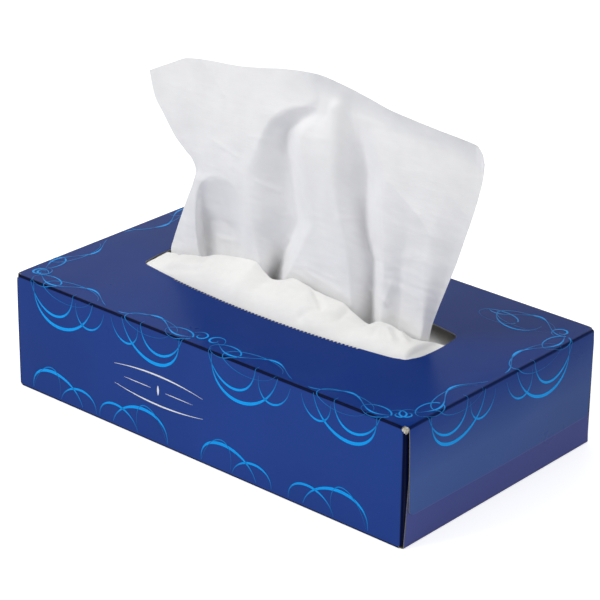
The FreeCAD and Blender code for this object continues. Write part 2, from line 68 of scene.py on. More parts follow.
# The folded board. A layer is one thickness of board with the gap to the next one.
BOARD = 0.45
LAYER = 0.55
FOLD_RADIUS = 0.8
SLEEVE_END = HALF_LENGTH - 2.6
TOP_CREASE = HALF_LENGTH - FOLD_RADIUS
BOTTOM_CREASE = HALF_LENGTH - LAYER - FOLD_RADIUS
DUST_CREASE = HALF_LENGTH - 2 * LAYER - FOLD_RADIUS
GLUE_FACE = HALF_WIDTH - LAYER
GLUE_END = HEIGHT - 15.0
SEAM = HEIGHT - 0.6
FOLD_STEPS = 4
GIRTH_STEPS = 12
GRID_STEP = 5.0
FLAP_CORNER = 3.5
CORNER_STEPS = 6
# Extra lines of the board's grid beside its creases, counted from them.
NEAR_CREASE = (0.5, 2.0)
NEAR_END = (0.8, 2.5)
# How far past its own run a panel still counts, for its folds and for its colours, and the width of the
# painted shade along a fold.
RUN_MARGIN = 0.6
MARK_MARGIN = 0.7
MARK_WIDTH = 0.5
NO_CREASE = 1000.0
# How far in from the carton's faces the panels start to swell, and where they do so fully.
SWELL_FROM, SWELL_FULL = 3.0, 1.2
END_SWELL_FROM = 4.0

# The torn opening, shifted along the length from the middle of the top panel.
OPENING_SHIFT = -2.2
OPENING_HALF_LENGTH = 79.9
OPENING_HALF_WIDTH = 24.9
LONG_RADIUS = 420.0
END_RADIUS = 78.0
FRONT_RIGHT_RADIUS = 12.0
FRONT_LEFT_RADIUS = 3.5
BACK_RADIUS = 5.0
NOTCHES = 55
NOTCH_PITCH = 2.0
NOTCH_WIDE = 0.8
NOTCH_DEEP = 1.3
# Plain edge left before the first notch and after the last, in radians of the long arc.
NOTCH_MARGIN = 0.0025
CORNER_POINTS, END_POINTS, LONG_POINTS = 9, 14, 8
# The part of the top panel that is meshed in triangles round the opening, and its loose points' spacing.
WINDOW_X = (-90.0, 86.0)
WINDOW_Y = (-31.0, 31.0)
LOOSE_STEP = 4.0
LOOSE_GAP = 2.2

# The three knocked corners: place, share of the crush and its reach.
FRONT_RIGHT_TOP = (HALF_LENGTH, -HALF_WIDTH, HEIGHT)
BACK_RIGHT_TOP = (HALF_LENGTH, HALF_WIDTH, HEIGHT)
FRONT_LEFT_TOP = (-HALF_LENGTH, -HALF_WIDTH, HEIGHT)
CRUSHED = ((FRONT_RIGHT_TOP, 1.0, 3.2), (BACK_RIGHT_TOP, 0.6, 2.6), (FRONT_LEFT_TOP, 0.3, 2.5))
# The corners where the ink is rubbed off, with its reach, and how far scuffs spread from the worst of them.
RUBBED = (
    (FRONT_RIGHT_TOP, 3.6), (BACK_RIGHT_TOP, 2.4), (FRONT_LEFT_TOP, 1.4),
    ((HALF_LENGTH, -HALF_WIDTH, 0.0), 1.6),
)
SCUFF_REACH = 34.0
# The frayed paper at that corner: how far in its middle lies, and its half sizes.
FRAY_INSET = (2.0, 1.75, 1.9)
FRAY_RADII = (1.5, 1.3, 1.45)

# Widths of the printed lines.
BOLD, BROAD, MEDIUM, FINE = 1.35, 1.0, 0.8, 0.42
RIBBON_STEP = 0.45

# Where the eye of the camera stands. The relief of the pulled-up tissue is worked along the lines from here,
# which keeps the sheet's outline in place.
EYE = (670.8, -772.8, 513.9)
CAMERA_AZIMUTH = 40.957
CAMERA_ELEVATION = 24.108
CAMERA_ROLL = 0.764
SENSOR_WIDTH = 36.0
CLIP_START = 0.01

# The pulled-up tissue's outline, as (x, z) on the upright plane through the middle of the box.
LEFT_EDGE = [
    (-78.0, 47.0), (-79.6, 57.4), (-77.6, 64.0), (-74.2, 73.0), (-69.3, 85.3), (-65.1, 95.3),
    (-63.5, 101.3), (-65.7, 105.9), (-70.1, 109.2), (-76.3, 114.2), (-80.1, 118.8), (-84.5, 124.5),
    (-88.8, 130.2), (-92.3, 142.2),
]
RIGHT_EDGE = [
    (71.0, 47.0), (73.0, 57.0), (74.2, 64.5), (77.5, 74.9), (81.4, 85.4), (87.1, 100.9), (90.3, 111.0),
    (93.5, 120.9), (96.2, 130.5), (98.2, 140.0), (98.7, 146.5),
]
HEM = [
    (-92.3, 142.2), (-84.2, 146.2), (-76.6, 149.9), (-69.1, 153.3), (-54.3, 155.6), (-39.8, 156.8),
    (-25.5, 159.0), (-11.5, 161.8), (2.3, 163.6), (9.1, 164.0), (22.7, 162.6), (36.0, 160.3), (49.3, 157.6),
    (62.2, 156.3), (75.1, 155.2), (87.7, 154.4), (94.4, 153.6), (97.4, 150.6), (98.7, 146.5),
]

# The folds that run up the sheet: for each, (z, x, y) along its line, y counted away from the eye.
FOLD_LINES = [
    [(47, -78.0, 1.0), (64, -77.6, 1.5), (85, -69.3, 1.0), (101, -63.5, -1.0), (114, -76.3, -3.0),
     (142, -92.3, -5.0)],
    [(47, -60.0, -2.0), (62, -61.6, -2.6), (75, -64.0, -2.6), (94, -63.5, -2.2), (106, -61.0, -1.6),
     (120, -60.5, -1.2), (155, -57.0, -1.5)],
    [(47, -46.0, -1.6), (62, -47.0, -2.0), (80, -47.5, -2.2), (101, -50.0, -2.2), (110, -48.0, -2.0),
     (156, -45.0, -1.5)],
    [(47, -33.0, -2.0), (62, -34.0, -2.5), (89, -37.5, -3.0), (105, -40.0, -3.0), (120, -37.0, -3.0),
     (157, -34.0, -2.0)],
    [(47, -22.0, -3.0), (65, -23.8, -4.0), (75, -28.0, -4.0), (89, -31.7, -4.0), (105, -32.0, -4.0),
     (121, -27.0, -4.2), (138, -17.7, -4.0), (145, -7.8, -2.8), (148, 0.3, -2.2), (152, 5.0, -2.0),
     (163, 6.0, -1.8)],
    [(47, -16.0, 8.0), (58, -15.8, 8.0), (67, -13.5, 7.8), (77, -9.5, 7.4), (86, -5.0, 6.8),
     (95, -2.2, 6.1), (105, -4.0, 5.8), (115, -5.5, 5.5), (126, -9.0, 5.0), (133, -8.5, 4.0),
     (140, -2.0, 2.5), (145, 4.5, 0.8), (149, 9.0, -0.8), (163, 11.0, -1.5)],
    [(47, -12.5, -1.0), (58, -11.0, -1.5), (67, -7.0, -2.0), (77, -1.5, -2.2), (86, 3.0, -2.2),
     (95, 7.0, -2.0), (105, 6.0, -2.0), (125, 1.0, -2.0), (133, 0.0, -1.5), (138, 3.0, -1.2),
     (143, 8.5, -1.0), (147, 13.0, -1.2), (163, 15.0, -1.5)],
    [(47, 26.0, -3.0), (63, 29.2, -3.5), (88, 25.7, -4.2), (101, 21.4, -4.5), (122, 16.6, -4.5),
     (150, 16.8, -3.5), (156, 20.5, -1.5), (163, 21.0, -0.5)],
    [(47, 39.0, 5.5), (63, 41.0, 6.2), (87, 41.4, 6.6), (92, 39.0, 6.8), (105, 36.0, 6.8), (124, 36.6, 6.0),
     (141, 33.3, 2.7), (151, 28.5, 0.5), (163, 28.5, 0.0)],
    [(47, 44.5, -1.5), (63, 46.5, -2.5), (88, 48.0, -2.8), (105, 46.5, -2.3), (125, 46.5, -1.8),
     (141, 42.0, -1.0), (160, 36.0, 0.0)],
    [(47, 54.0, 1.0), (64, 57.0, 1.0), (90, 58.0, 0.5), (108, 60.0, -0.5), (125, 62.0, -1.0),
     (157, 62.0, 0.0)],
    [(47, 66.0, -2.0), (67, 69.5, -2.2), (90, 70.0, -2.0), (107, 72.0, -1.5), (125, 78.0, -1.2),
     (155, 84.0, -0.5)],
    [(47, 71.0, 1.0), (64, 74.2, 2.0), (85, 81.4, 2.5), (111, 90.3, 2.0), (130, 96.2, 1.5),
     (147, 98.7, 1.0)],
]
# Sharp creases pressed into the sheet: (x, z) from and to, depth and width, and what scales the last two.
CREASES = [
    ((49.0, 125.5), (65.0, 114.7), -0.9, 5.0), ((65.0, 114.7), (73.0, 107.0), -0.9, 5.0),
    ((40.0, 73.5), (48.5, 69.8), -1.4, 2.5), ((48.5, 69.8), (52.0, 79.0), -0.9, 3.0),
    ((-30.0, 126.0), (-12.0, 127.5), -0.5, 1.6), ((-27.0, 105.5), (-12.0, 104.5), -0.4, 1.5),
    ((-62.0, 96.5), (-44.0, 101.5), -0.7, 4.0), ((-58.0, 84.5), (-40.0, 82.0), -0.5, 2.5),
    ((-50.0, 72.0), (-46.5, 60.0), -1.2, 2.5), ((-47.0, 72.0), (-36.0, 74.0), -0.6, 2.0),
    ((-14.0, 80.0), (2.0, 88.0), -0.5, 2.0), ((0.0, 74.0), (24.0, 71.5), -0.4, 1.6),
    ((3.0, 70.5), (24.0, 67.0), -0.5, 1.6), ((21.0, 101.0), (33.0, 104.5), -0.6, 2.0),
    ((4.0, 134.0), (13.0, 135.5), -0.5, 2.5), ((-55.0, 152.0), (-47.0, 142.0), -0.35, 2.0),
    ((-53.0, 118.0), (-38.0, 114.5), -0.35, 2.0), ((52.0, 80.0), (66.0, 77.0), -0.4, 2.2),
    ((55.0, 92.0), (67.0, 97.0), -0.3, 3.0), ((78.0, 132.0), (92.0, 120.0), -0.4, 4.0),
]
CREASE_DEPTH, CREASE_WIDTH = 0.55, 1.3
# The hollow under the rounded arch at the left: its two sides as (z, x), the arch's middle, half width,
# springing line and rise, how deep it is and how far below the crown it is that deep.
ARCH_LEFT = [(47.0, -58.5), (57.0, -61.3), (65.0, -63.2), (75.5, -64.6), (84.0, -65.2), (104.0, -65.2)]
ARCH_RIGHT = [(47.0, -35.0), (60.0, -33.0), (72.0, -31.0), (80.0, -31.0), (88.0, -32.5), (104.0, -32.7)]
ARCH_MIDDLE, ARCH_HALF, ARCH_SPRING, ARCH_RISE = -48.5, 15.8, 84.0, 18.0
ARCH_DEPTH = 6.9
ARCH_FALL = 21.0
# The whole sheet leans back to the right, and its hem curls towards the eye over its right part.
SLANT_LEFT, SLANT_RIGHT = -3.0, 3.5
SLANT_FROM, SLANT_RUN = -80.0, 155.0
CURL_BAND = 9.5
CURL_DEPTH = -4.5
CURL_FROM, CURL_FULL = -14.0, 12.0
# The foot of the sheet, inside the box.
BASE_LEVEL = 47.0

# Where the next tissue's crest hides the pulled-up one, as (x, z) on the same upright plane.
CREST = [
    (-82.0, 55.5), (-76.0, 56.2), (-70.9, 57.4), (-57.2, 60.7), (-46.6, 63.8), (-38.5, 65.2), (-26.8, 67.0),
    (-21.8, 64.0), (-16.5, 61.3), (-9.7, 62.6), (-4.0, 64.8), (6.5, 63.9), (15.0, 62.6), (24.6, 62.2),
    (31.0, 59.4), (39.8, 56.6), (44.5, 59.2), (51.5, 60.0), (58.0, 58.6), (65.0, 57.4), (70.0, 58.0),
    (74.0, 58.8), (78.0, 59.3), (80.5, 59.5), (83.0, 59.7),
]
# How far that crest lies from the plane, (x, y): in front of the pulled-up one's ridges, behind at the right.
CREST_PLACE = [
    (-84.0, -1.0), (-79.0, -3.5), (-72.0, -7.8), (-60.0, -8.2), (-20.0, -6.6), (20.0, -5.0), (50.0, -3.8),
    (66.0, -3.0), (72.0, -0.5), (75.0, 1.8), (78.0, 4.2), (83.0, 6.5),
]
# Soft folds of the next tissue, seen from above: (x, y) from and to, lift and width.
SWELLS = [
    ((-69.0, -6.0), (-67.5, -15.0), -0.9, 2.2), ((-72.0, -6.0), (-71.0, -13.0), 0.6, 2.5),
    ((-53.0, -6.0), (-50.0, -13.0), -0.5, 2.5), ((-66.0, -18.0), (-47.0, -17.0), -0.8, 1.8),
    ((-66.0, -15.5), (-47.0, -14.5), 0.5, 2.5), ((-43.0, -7.0), (-30.0, -5.0), 0.5, 3.0),
    ((-16.0, -7.0), (-28.0, -17.0), -0.5, 4.0), ((2.0, -6.0), (-6.0, -18.0), 0.4, 5.0),
    ((13.0, -6.0), (24.0, -13.0), -0.8, 1.6), ((24.0, -13.0), (18.0, -20.0), -0.8, 1.6),
    ((18.0, -20.0), (22.0, -23.0), -0.6, 1.6), ((14.0, -10.0), (16.0, -16.0), 0.6, 4.0),
    ((33.0, -7.0), (34.0, -13.0), -0.7, 1.6), ((56.0, -7.0), (62.0, -12.0), 0.7, 1.8),
    ((62.0, -4.5), (67.0, -8.0), 0.8, 1.6), ((52.0, -9.0), (54.0, -14.0), -0.5, 1.6),
]
NEXT_COLUMNS, NEXT_ROWS, TUCK_ROWS = 221, 61, 12
# Where the next tissue meets the opening's front edge, how high it puffs up behind it, and how it is tucked
# in: under the lip, as inset and fall, and down behind its crest.
LIP_GAP, LIP_DEPTH = 0.5, 0.9
PUFF_SHARE, PUFF_MOST = 0.16, 3.2
TUCK_FRONT = ((4.0, 3.0), (2.0, 2.2), (0.6, 1.0))
TUCK_DEPTH = 9.0

# The pile: the height where its flat layers end, their inset and stray, and the rumpled sheet on top.
PILE_SHOULDER = 43.0
PILE_MARGIN = 0.8
LAYER_SHIFT = 0.5
LAYER_STATIONS, LAYER_FOLD_POINTS = 13, 7
LAYER_CLEARANCE = 0.96
COVER_COLUMNS, COVER_ROWS = 120, 80
COVER_MARGIN = 2.5
COVER_LIFT = 0.4
COVER_THICKNESS = 0.0003
CROWN_ROOM = 1.2

# The studio: the floor, and for each light its place and size in metres and the setting with its power.
FLOOR_SQUARES = 40
FLOOR_SIZE = 6000.0
FLOOR_LEVEL = -0.02
LIGHT_TARGET = (0.0, 0.0, 0.06)
LIGHTS = {
    "key_light": ((-0.75, -1.15, 0.95), 0.9, "key_power"),
    "fill_light": ((1.3, -0.35, 0.7), 0.9, "fill_power"),
    "top_light": ((-0.1, 0.2, 1.5), 1.2, "top_power"),
    "back_light": ((-1.25, 1.35, 0.88), 1.5, "back_power"),
}


def colour_setting(name, description, default):
    return FloatVectorProperty(
        name=name, description=description, subtype="COLOR", size=3, min=0.0, max=1.0, default=default)


def length_setting(name, description, default, high, low=0.0):
    return FloatProperty(
        name=name, description=description, unit="LENGTH", min=low, max=high, default=default)


def power_setting(name, description, default):
    return FloatProperty(
        name=name, description=description, unit="POWER", min=0.0, max=500.0, default=default)


def share_setting(name, description, default, high):
    return FloatProperty(
        name=name, description=description, subtype="FACTOR", min=0.0, max=high, default=default)


def count_setting(name, description, default, low, high):
    return IntProperty(name=name, description=description, min=low, max=high, default=default)


class CartonSettings(bpy.types.PropertyGroup):
    ink: colour_setting("Ink", "Deep blue the carton is printed with", (0.001, 0.029, 0.20))
    # Painted shade: this near-black blue darkens the board along its folds and over the hidden dust flaps.
    fold_shade_ink: colour_setting("Fold ink", "Darker blue where the board is creased", (0.0006, 0.003, 0.028))
    # Painted light: the walls take a paler copy of the lid's blue.
    lit_wall_ink: colour_setting("Wall ink", "The same blue on the walls, a little paler", (0.018, 0.052, 0.25))
    # Painted light: the end flaps are painted a paler blue low down.
    end_light_ink: colour_setting("End ink", "Painted light: paler blue low down on the end flaps", (0.055, 0.105, 0.31))
    strip_ink: colour_setting("Strip ink", "Greyer blue under the end flap's edge", (0.075, 0.085, 0.29))
    tip_ink: colour_setting("Tip ink", "Rubbed blue along the end flaps' free edges", (0.10, 0.14, 0.38))
    raw_board: colour_setting("Raw board", "Grey-brown of the unprinted inside", (0.23, 0.205, 0.16))
    cut_edge: colour_setting("Cut edge", "Pale grey of cut edges and worn corners", (0.36, 0.35, 0.32))
    torn_shade: colour_setting("Torn shade", "Dark fibres of the frayed corner", (0.34, 0.31, 0.24))
    torn_paper: colour_setting("Torn paper", "Pale fibres of the frayed corner", (0.78, 0.76, 0.70))
    gloss_roughness: share_setting("Varnish roughness", "How much the varnish blurs reflections", 0.3, 1.0)
    end_bulge: length_setting("End bulge", "How far the glued end flaps swell outwards", 0.0009, 0.004)
    panel_bulge: length_setting("Panel bulge", "How far the long panels swell outwards", 0.0005, 0.004)
    corner_crush: length_setting("Corner crush", "How far the knocked corner is pushed in", 0.0009, 0.003)


class PrintSettings(bpy.types.PropertyGroup):
    light_ink: colour_setting("Light ink", "Light blue in the thick parts of the lines", (0.006, 0.36, 0.95))
    thin_ink: colour_setting("Thin line ink", "Blue of the lines where they are thin", (0.012, 0.17, 0.52))
    white_ink: colour_setting("White ink", "Colour of the small divider", (0.80, 0.82, 0.86))
    line_scale: share_setting("Line scale", "Multiplies the width of every printed line", 1.15, 4.0)
    film_lift: length_setting("Film lift", "Height of the ink film above the board", 0.00006, 0.0002, 0.00001)


class TissueSettings(bpy.types.PropertyGroup):
    paper: colour_setting("Paper", "White of the pulled-up tissue", (0.905, 0.905, 0.915))
    # Painted light: the tissues inside get a brighter, warmer white than the pulled-up one.
    inner_lit_paper: colour_setting("Inner paper", "Warmer white of the tissues inside", (0.93, 0.925, 0.905))
    thickness: length_setting("Thickness", "Thickness of one two-ply tissue", 0.0002, 0.001, 0.00005)
    relief: share_setting("Relief", "Multiplies the depth of the folds", 1.0, 2.0)
    wrinkle: length_setting("Wrinkle", "Height of the small wrinkles", 0.0002, 0.002)
    columns: count_setting("Columns", "Mesh columns across the pulled-up tissue", 250, 20, 400)
    rows: count_setting("Rows", "Mesh rows up the pulled-up tissue", 150, 20, 300)


class PileSettings(bpy.types.PropertyGroup):
    layers: count_setting("Layers", "Folded layers shown in the pile", 34, 4, 80)
    seed: count_setting("Seed", "Changes how the layers lie", 7, 0, 999)


class StudioSettings(bpy.types.PropertyGroup):
    lens: FloatProperty(
        name="Lens", description="Focal length on a 36 mm wide sensor", subtype="DISTANCE_CAMERA", min=10.0,
        max=400.0, default=150.9)
    key_power: power_setting("Key power", "Power of the large front left light", 13.0)
    fill_power: power_setting("Fill power", "Power of the light on the right", 4.6)
    top_power: power_setting("Top power", "Power of the overhead light", 2.5)
    back_power: power_setting("Back power", "Power of the broad light behind on the left", 5.5)
    ambient: share_setting("Ambient", "Brightness of the room around the box", 0.36, 2.0)
    floor: colour_setting("Floor", "Colour of the floor", (0.86, 0.86, 0.86))
    floor_glow: share_setting("Floor glow", "How much the floor shines where it is looked at", 0.62, 2.0)


def smooth(low, high, value):
    """0 below low, 1 above high, and an even swing between."""
    t = np.clip((np.asarray(value, float) - low) / (high - low), 0.0, 1.0)
    return t * t * (3 - 2 * t)


def flowing(knots, values, at):
    """A smooth curve through the knots that never swings past them."""
    knots, values = np.asarray(knots, float), np.asarray(values, float)
    step = np.diff(knots)
    slope = np.diff(values) / step
    ends = np.zeros(len(knots))
    same = slope[:-1] * slope[1:] > 0
    weight = 2 * step[1:] + step[:-1], step[1:] + 2 * step[:-1]
    with np.errstate(divide="ignore", invalid="ignore"):
        mean = (weight[0] + weight[1]) / (weight[0] / slope[:-1] + weight[1] / slope[1:])
    ends[1:-1] = np.where(same, mean, 0.0)
    ends[0], ends[-1] = slope[0], slope[-1]
    at = np.clip(at, knots[0], knots[-1])
    i = np.clip(np.searchsorted(knots, at, side="right") - 1, 0, len(step) - 1)
    t = (at - knots[i]) / step[i]
    return (
        values[i] * (1 + 2 * t) * (1 - t) ** 2 + step[i] * ends[i] * t * (1 - t) ** 2
        + values[i + 1] * t * t * (3 - 2 * t) + step[i] * ends[i + 1] * t * t * (t - 1)
    )


def to_segment(x, z, start, end):
    """Distance from each point to a straight segment."""
    (ax, az), (bx, bz) = start, end
    dx, dz = bx - ax, bz - az
    t = np.clip(((x - ax) * dx + (z - az) * dz) / (dx * dx + dz * dz), 0.0, 1.0)
    return np.hypot(x - ax - t * dx, z - az - t * dz)


def new_piece(name, points, faces, materials):
    """A mesh object at the origin with its points in millimetres."""
    mesh = bpy.data.meshes.new(name)
    mesh.from_pydata((np.asarray(points) * MM).tolist(), [], faces)
    mesh.validate()
    for material in materials:
        mesh.materials.append(material)
    piece = bpy.data.objects.new(name, mesh)
    bpy.context.scene.collection.objects.link(piece)
    return piece


def shade(mesh, sharp_degrees):
    mesh.polygons.foreach_set("use_smooth", [True] * len(mesh.polygons))
    mesh.set_sharp_from_angle(angle=math.radians(sharp_degrees))


def new_tree(name, sockets):
    """A geometry node tree with named inputs beside its geometry, and those inputs' identifiers."""
    tree = bpy.data.node_groups.new(name, "GeometryNodeTree")
    tree.interface.new_socket("Geometry", in_out="INPUT", socket_type="NodeSocketGeometry")
    names = {label: tree.interface.new_socket(label, in_out="INPUT", socket_type=kind).identifier
             for label, kind in sockets.items()}
    tree.interface.new_socket("Geometry", in_out="OUTPUT", socket_type="NodeSocketGeometry")
    return tree, names


def add_nodes(tree, kinds):
    return {name: tree.nodes.new(kind) for name, kind in kinds.items()}


def wire(tree, nodes, links):
    """Joins nodes, each link as the node it leaves, the output, the node it enters and the input."""
    for source, output, target, entry in links:
        tree.links.new(nodes[source].outputs[output], nodes[target].inputs[entry])


def grow(piece, tree, names, values):
    """The plain mesh that a node tree makes of an object, which is removed."""
    modifier = piece.modifiers.new(tree.name, "NODES")
    modifier.node_group = tree
    for label, value in values.items():
        modifier[names[label]] = value
    graph = bpy.context.evaluated_depsgraph_get()
    mesh = bpy.data.meshes.new_from_object(piece.evaluated_get(graph), depsgraph=graph)
    piece.modifiers.remove(modifier)
    bpy.data.objects.remove(piece)
    return mesh


class Shader:
    """A material's node tree with a Principled surface, filled in step by step."""

    def __init__(self, name, roughness, specular=0.5):
        self.material = bpy.data.materials.new(name)
        self.material.use_nodes = True
        self.nodes = self.material.node_tree.nodes
        self.links = self.material.node_tree.links
        self.surface = self.nodes["Principled BSDF"]
        self.surface.inputs["Roughness"].default_value = roughness
        self.surface.inputs["Specular IOR Level"].default_value = specular
        self.place = self.nodes.new("ShaderNodeTexCoord").outputs["Object"]

    def link(self, source, target):
        self.links.new(source, target)
        return target

    def stretched(self, scale):
        node = self.nodes.new("ShaderNodeMapping")
        node.inputs["Scale"].default_value = scale
        self.link(self.place, node.inputs["Vector"])
        return node.outputs["Vector"]

    def noise(self, scale, detail=2.0, roughness=0.5, vector=None, distortion=0.0):
        node = self.nodes.new("ShaderNodeTexNoise")
        node.inputs["Scale"].default_value = scale
        node.inputs["Detail"].default_value = detail
        node.inputs["Roughness"].default_value = roughness
        node.inputs["Distortion"].default_value = distortion
        self.link(vector or self.place, node.inputs["Vector"])
        return node.outputs["Fac"]

    def ranged(self, value, low, high, to_low=0.0, to_high=1.0):
        node = self.nodes.new("ShaderNodeMapRange")
        for name, number in (("From Min", low), ("From Max", high), ("To Min", to_low), ("To Max", to_high)):
            node.inputs[name].default_value = number
        self.link(value, node.inputs["Value"])
        return node.outputs["Result"]

    def math(self, kind, first, second):
        node = self.nodes.new("ShaderNodeMath")
        node.operation = kind
        for socket, value in zip(node.inputs, (first, second)):
            if isinstance(value, (int, float)):
                socket.default_value = value
            else:
                self.link(value, socket)
        return node.outputs["Value"]

    def mixed(self, factor, first, second, kind="MIX"):
        node = self.nodes.new("ShaderNodeMix")
        node.data_type = "RGBA"
        node.blend_type = kind
        if isinstance(factor, (int, float)):
            node.inputs[0].default_value = factor
        else:
            self.link(factor, node.inputs[0])
        for index, colour in ((6, first), (7, second)):
            if isinstance(colour, bpy.types.NodeSocket):
                self.link(colour, node.inputs[index])
            else:
                node.inputs[index].default_value = (*colour, 1.0)
        return node.outputs[2]

    def attribute(self, name):
        node = self.nodes.new("ShaderNodeAttribute")
        node.attribute_name = name
        return node

    def near(self, point, reach):
        """1 at a point given in millimetres, falling to 0 at the reach."""
        node = self.nodes.new("ShaderNodeVectorMath")
        node.operation = "DISTANCE"
        self.link(self.place, node.inputs[0])
        node.inputs[1].default_value = Vector(point) * MM
        return self.ranged(node.outputs["Value"], 0.0, reach * MM, 1.0, 0.0)

    def bump(self, height, strength, distance):
        node = self.nodes.new("ShaderNodeBump")
        node.inputs["Strength"].default_value = strength
        node.inputs["Distance"].default_value = distance
        self.link(height, node.inputs["Height"])
        if self.surface.inputs["Normal"].links:
            self.link(self.surface.inputs["Normal"].links[0].from_socket, node.inputs["Normal"])
        self.link(node.outputs["Normal"], self.surface.inputs["Normal"])

    def colour(self, source):
        if isinstance(source, bpy.types.NodeSocket):
            self.link(source, self.surface.inputs["Base Color"])
        else:
            self.surface.inputs["Base Color"].default_value = (*source, 1.0)


# The carton.

def girth_table():
    """The outer face round the sleeve, from the glue flap's end over the top, the front and the bottom to the
    back panel's raw edge: distance along the board, y, z and the direction the face looks, in radians."""
    radius, quarter = FOLD_RADIUS, math.pi / 2
    runs = [
        ((GLUE_FACE, GLUE_END), (GLUE_FACE, HEIGHT - radius), 0.0),
        ((GLUE_FACE - radius, HEIGHT), (-HALF_WIDTH + radius, HEIGHT), quarter),
        ((-HALF_WIDTH, HEIGHT - radius), (-HALF_WIDTH, radius), 2 * quarter),
        ((-HALF_WIDTH + radius, 0.0), (HALF_WIDTH - radius, 0.0), 3 * quarter),
        ((HALF_WIDTH, radius), (HALF_WIDTH, SEAM), 4 * quarter),
    ]
    rows, distance = [], 0.0
    for index, (start, end, facing) in enumerate(runs):
        rows.append((distance, *start, facing))
        distance += math.dist(start, end)
        rows.append((distance, *end, facing))
        if index < len(runs) - 1:
            centre = (end[0] - radius * math.cos(facing), end[1] - radius * math.sin(facing))
            for step in range(1, GIRTH_STEPS):
                turn = facing + quarter * step / GIRTH_STEPS
                gone = distance + radius * quarter * step / GIRTH_STEPS
                y, z = centre[0] + radius * math.cos(turn), centre[1] + radius * math.sin(turn)
                rows.append((gone, y, z, turn))
            distance += radius * quarter
    return np.array(rows)


GIRTH = girth_table()
FOLD_ARC = FOLD_RADIUS * math.pi / 2
GLUE_RUN = (0.0, HEIGHT - FOLD_RADIUS - GLUE_END)
TOP_RUN = (GLUE_RUN[1] + FOLD_ARC, GLUE_RUN[1] + FOLD_ARC + GLUE_FACE + HALF_WIDTH - 2 * FOLD_RADIUS)
FRONT_RUN = (TOP_RUN[1] + FOLD_ARC, TOP_RUN[1] + FOLD_ARC + HEIGHT - 2 * FOLD_RADIUS)
BOTTOM_RUN = (FRONT_RUN[1] + FOLD_ARC, FRONT_RUN[1] + FOLD_ARC + 2 * (HALF_WIDTH - FOLD_RADIUS))
BACK_RUN = (BOTTOM_RUN[1] + FOLD_ARC, BOTTOM_RUN[1] + FOLD_ARC + SEAM - FOLD_RADIUS)
TOP_EDGE = (TOP_RUN[1] + FRONT_RUN[0]) / 2
LOW_EDGE = (FRONT_RUN[1] + BOTTOM_RUN[0]) / 2


def on_top(y):
    """Distance along the board of a line on the top panel at this y."""
    return TOP_RUN[0] + (GLUE_FACE - FOLD_RADIUS) - y


def on_front(z):
    return FRONT_RUN[0] + (HEIGHT - FOLD_RADIUS) - z


def on_bottom(y):
    return BOTTOM_RUN[0] + y + (HALF_WIDTH - FOLD_RADIUS)


def on_back(z):
    return BACK_RUN[0] + z - FOLD_RADIUS


# Each panel's end flap, as the two cuts beside it.
LID_FLAP = (on_top(64.0), on_top(-64.0))
FRONT_FLAP = (on_front(54.5), on_front(1.5))
BASE_FLAP = (on_bottom(-65.0), on_bottom(65.0))
BACK_FLAP = (on_back(1.5), on_back(54.5))
# The end flaps: cuts, distance of the fold, length from the end's face and how much they narrow on each side.
END_FLAPS = (
    (LID_FLAP, TOP_CREASE, 41.5, 1.2), (FRONT_FLAP, DUST_CREASE, 52.0, 6.0),
    (BASE_FLAP, BOTTOM_CREASE, 42.0, 3.0), (BACK_FLAP, DUST_CREASE, 52.0, 6.0),
)


def crease_of(s):
    """How far out each line of the board runs before its end flap's fold."""
    crease = np.full(len(s), NO_CREASE)
    for (low, high), value in ((TOP_RUN, TOP_CREASE), (FRONT_RUN, DUST_CREASE), (BOTTOM_RUN, BOTTOM_CREASE),
                               (BACK_RUN, DUST_CREASE)):
        crease[(s > low - RUN_MARGIN) & (s < high + RUN_MARGIN)] = value
    return crease


def fold_board(blank, lift, settings):
    """Folds points of the flat blank, (x, distance along the board), into the carton's shape. The lift is
    counted outwards from the board's printed face."""
    x, s = np.asarray(blank, float).T
    y = np.interp(s, GIRTH[:, 0], GIRTH[:, 1])
    z = np.interp(s, GIRTH[:, 0], GIRTH[:, 2])
    facing = np.interp(s, GIRTH[:, 0], GIRTH[:, 3])
    ny, nz = np.cos(facing), np.sin(facing)
    crease, side = crease_of(s), np.sign(x)
    excess = np.maximum(np.abs(x) - crease, 0.0)
    turn = np.minimum(excess / FOLD_RADIUS, math.pi / 2)
    inward = FOLD_RADIUS * (1 - np.cos(turn)) + np.maximum(excess - FOLD_ARC, 0.0)
    outward = FOLD_RADIUS * np.sin(turn)
    reach = np.minimum(np.abs(x), crease) + outward
    points = np.stack([
        side * (reach + lift * np.sin(turn)),
        y - ny * inward + lift * ny * np.cos(turn),
        z - nz * inward + lift * nz * np.cos(turn),
    ], axis=1)
    return swell(points, settings)


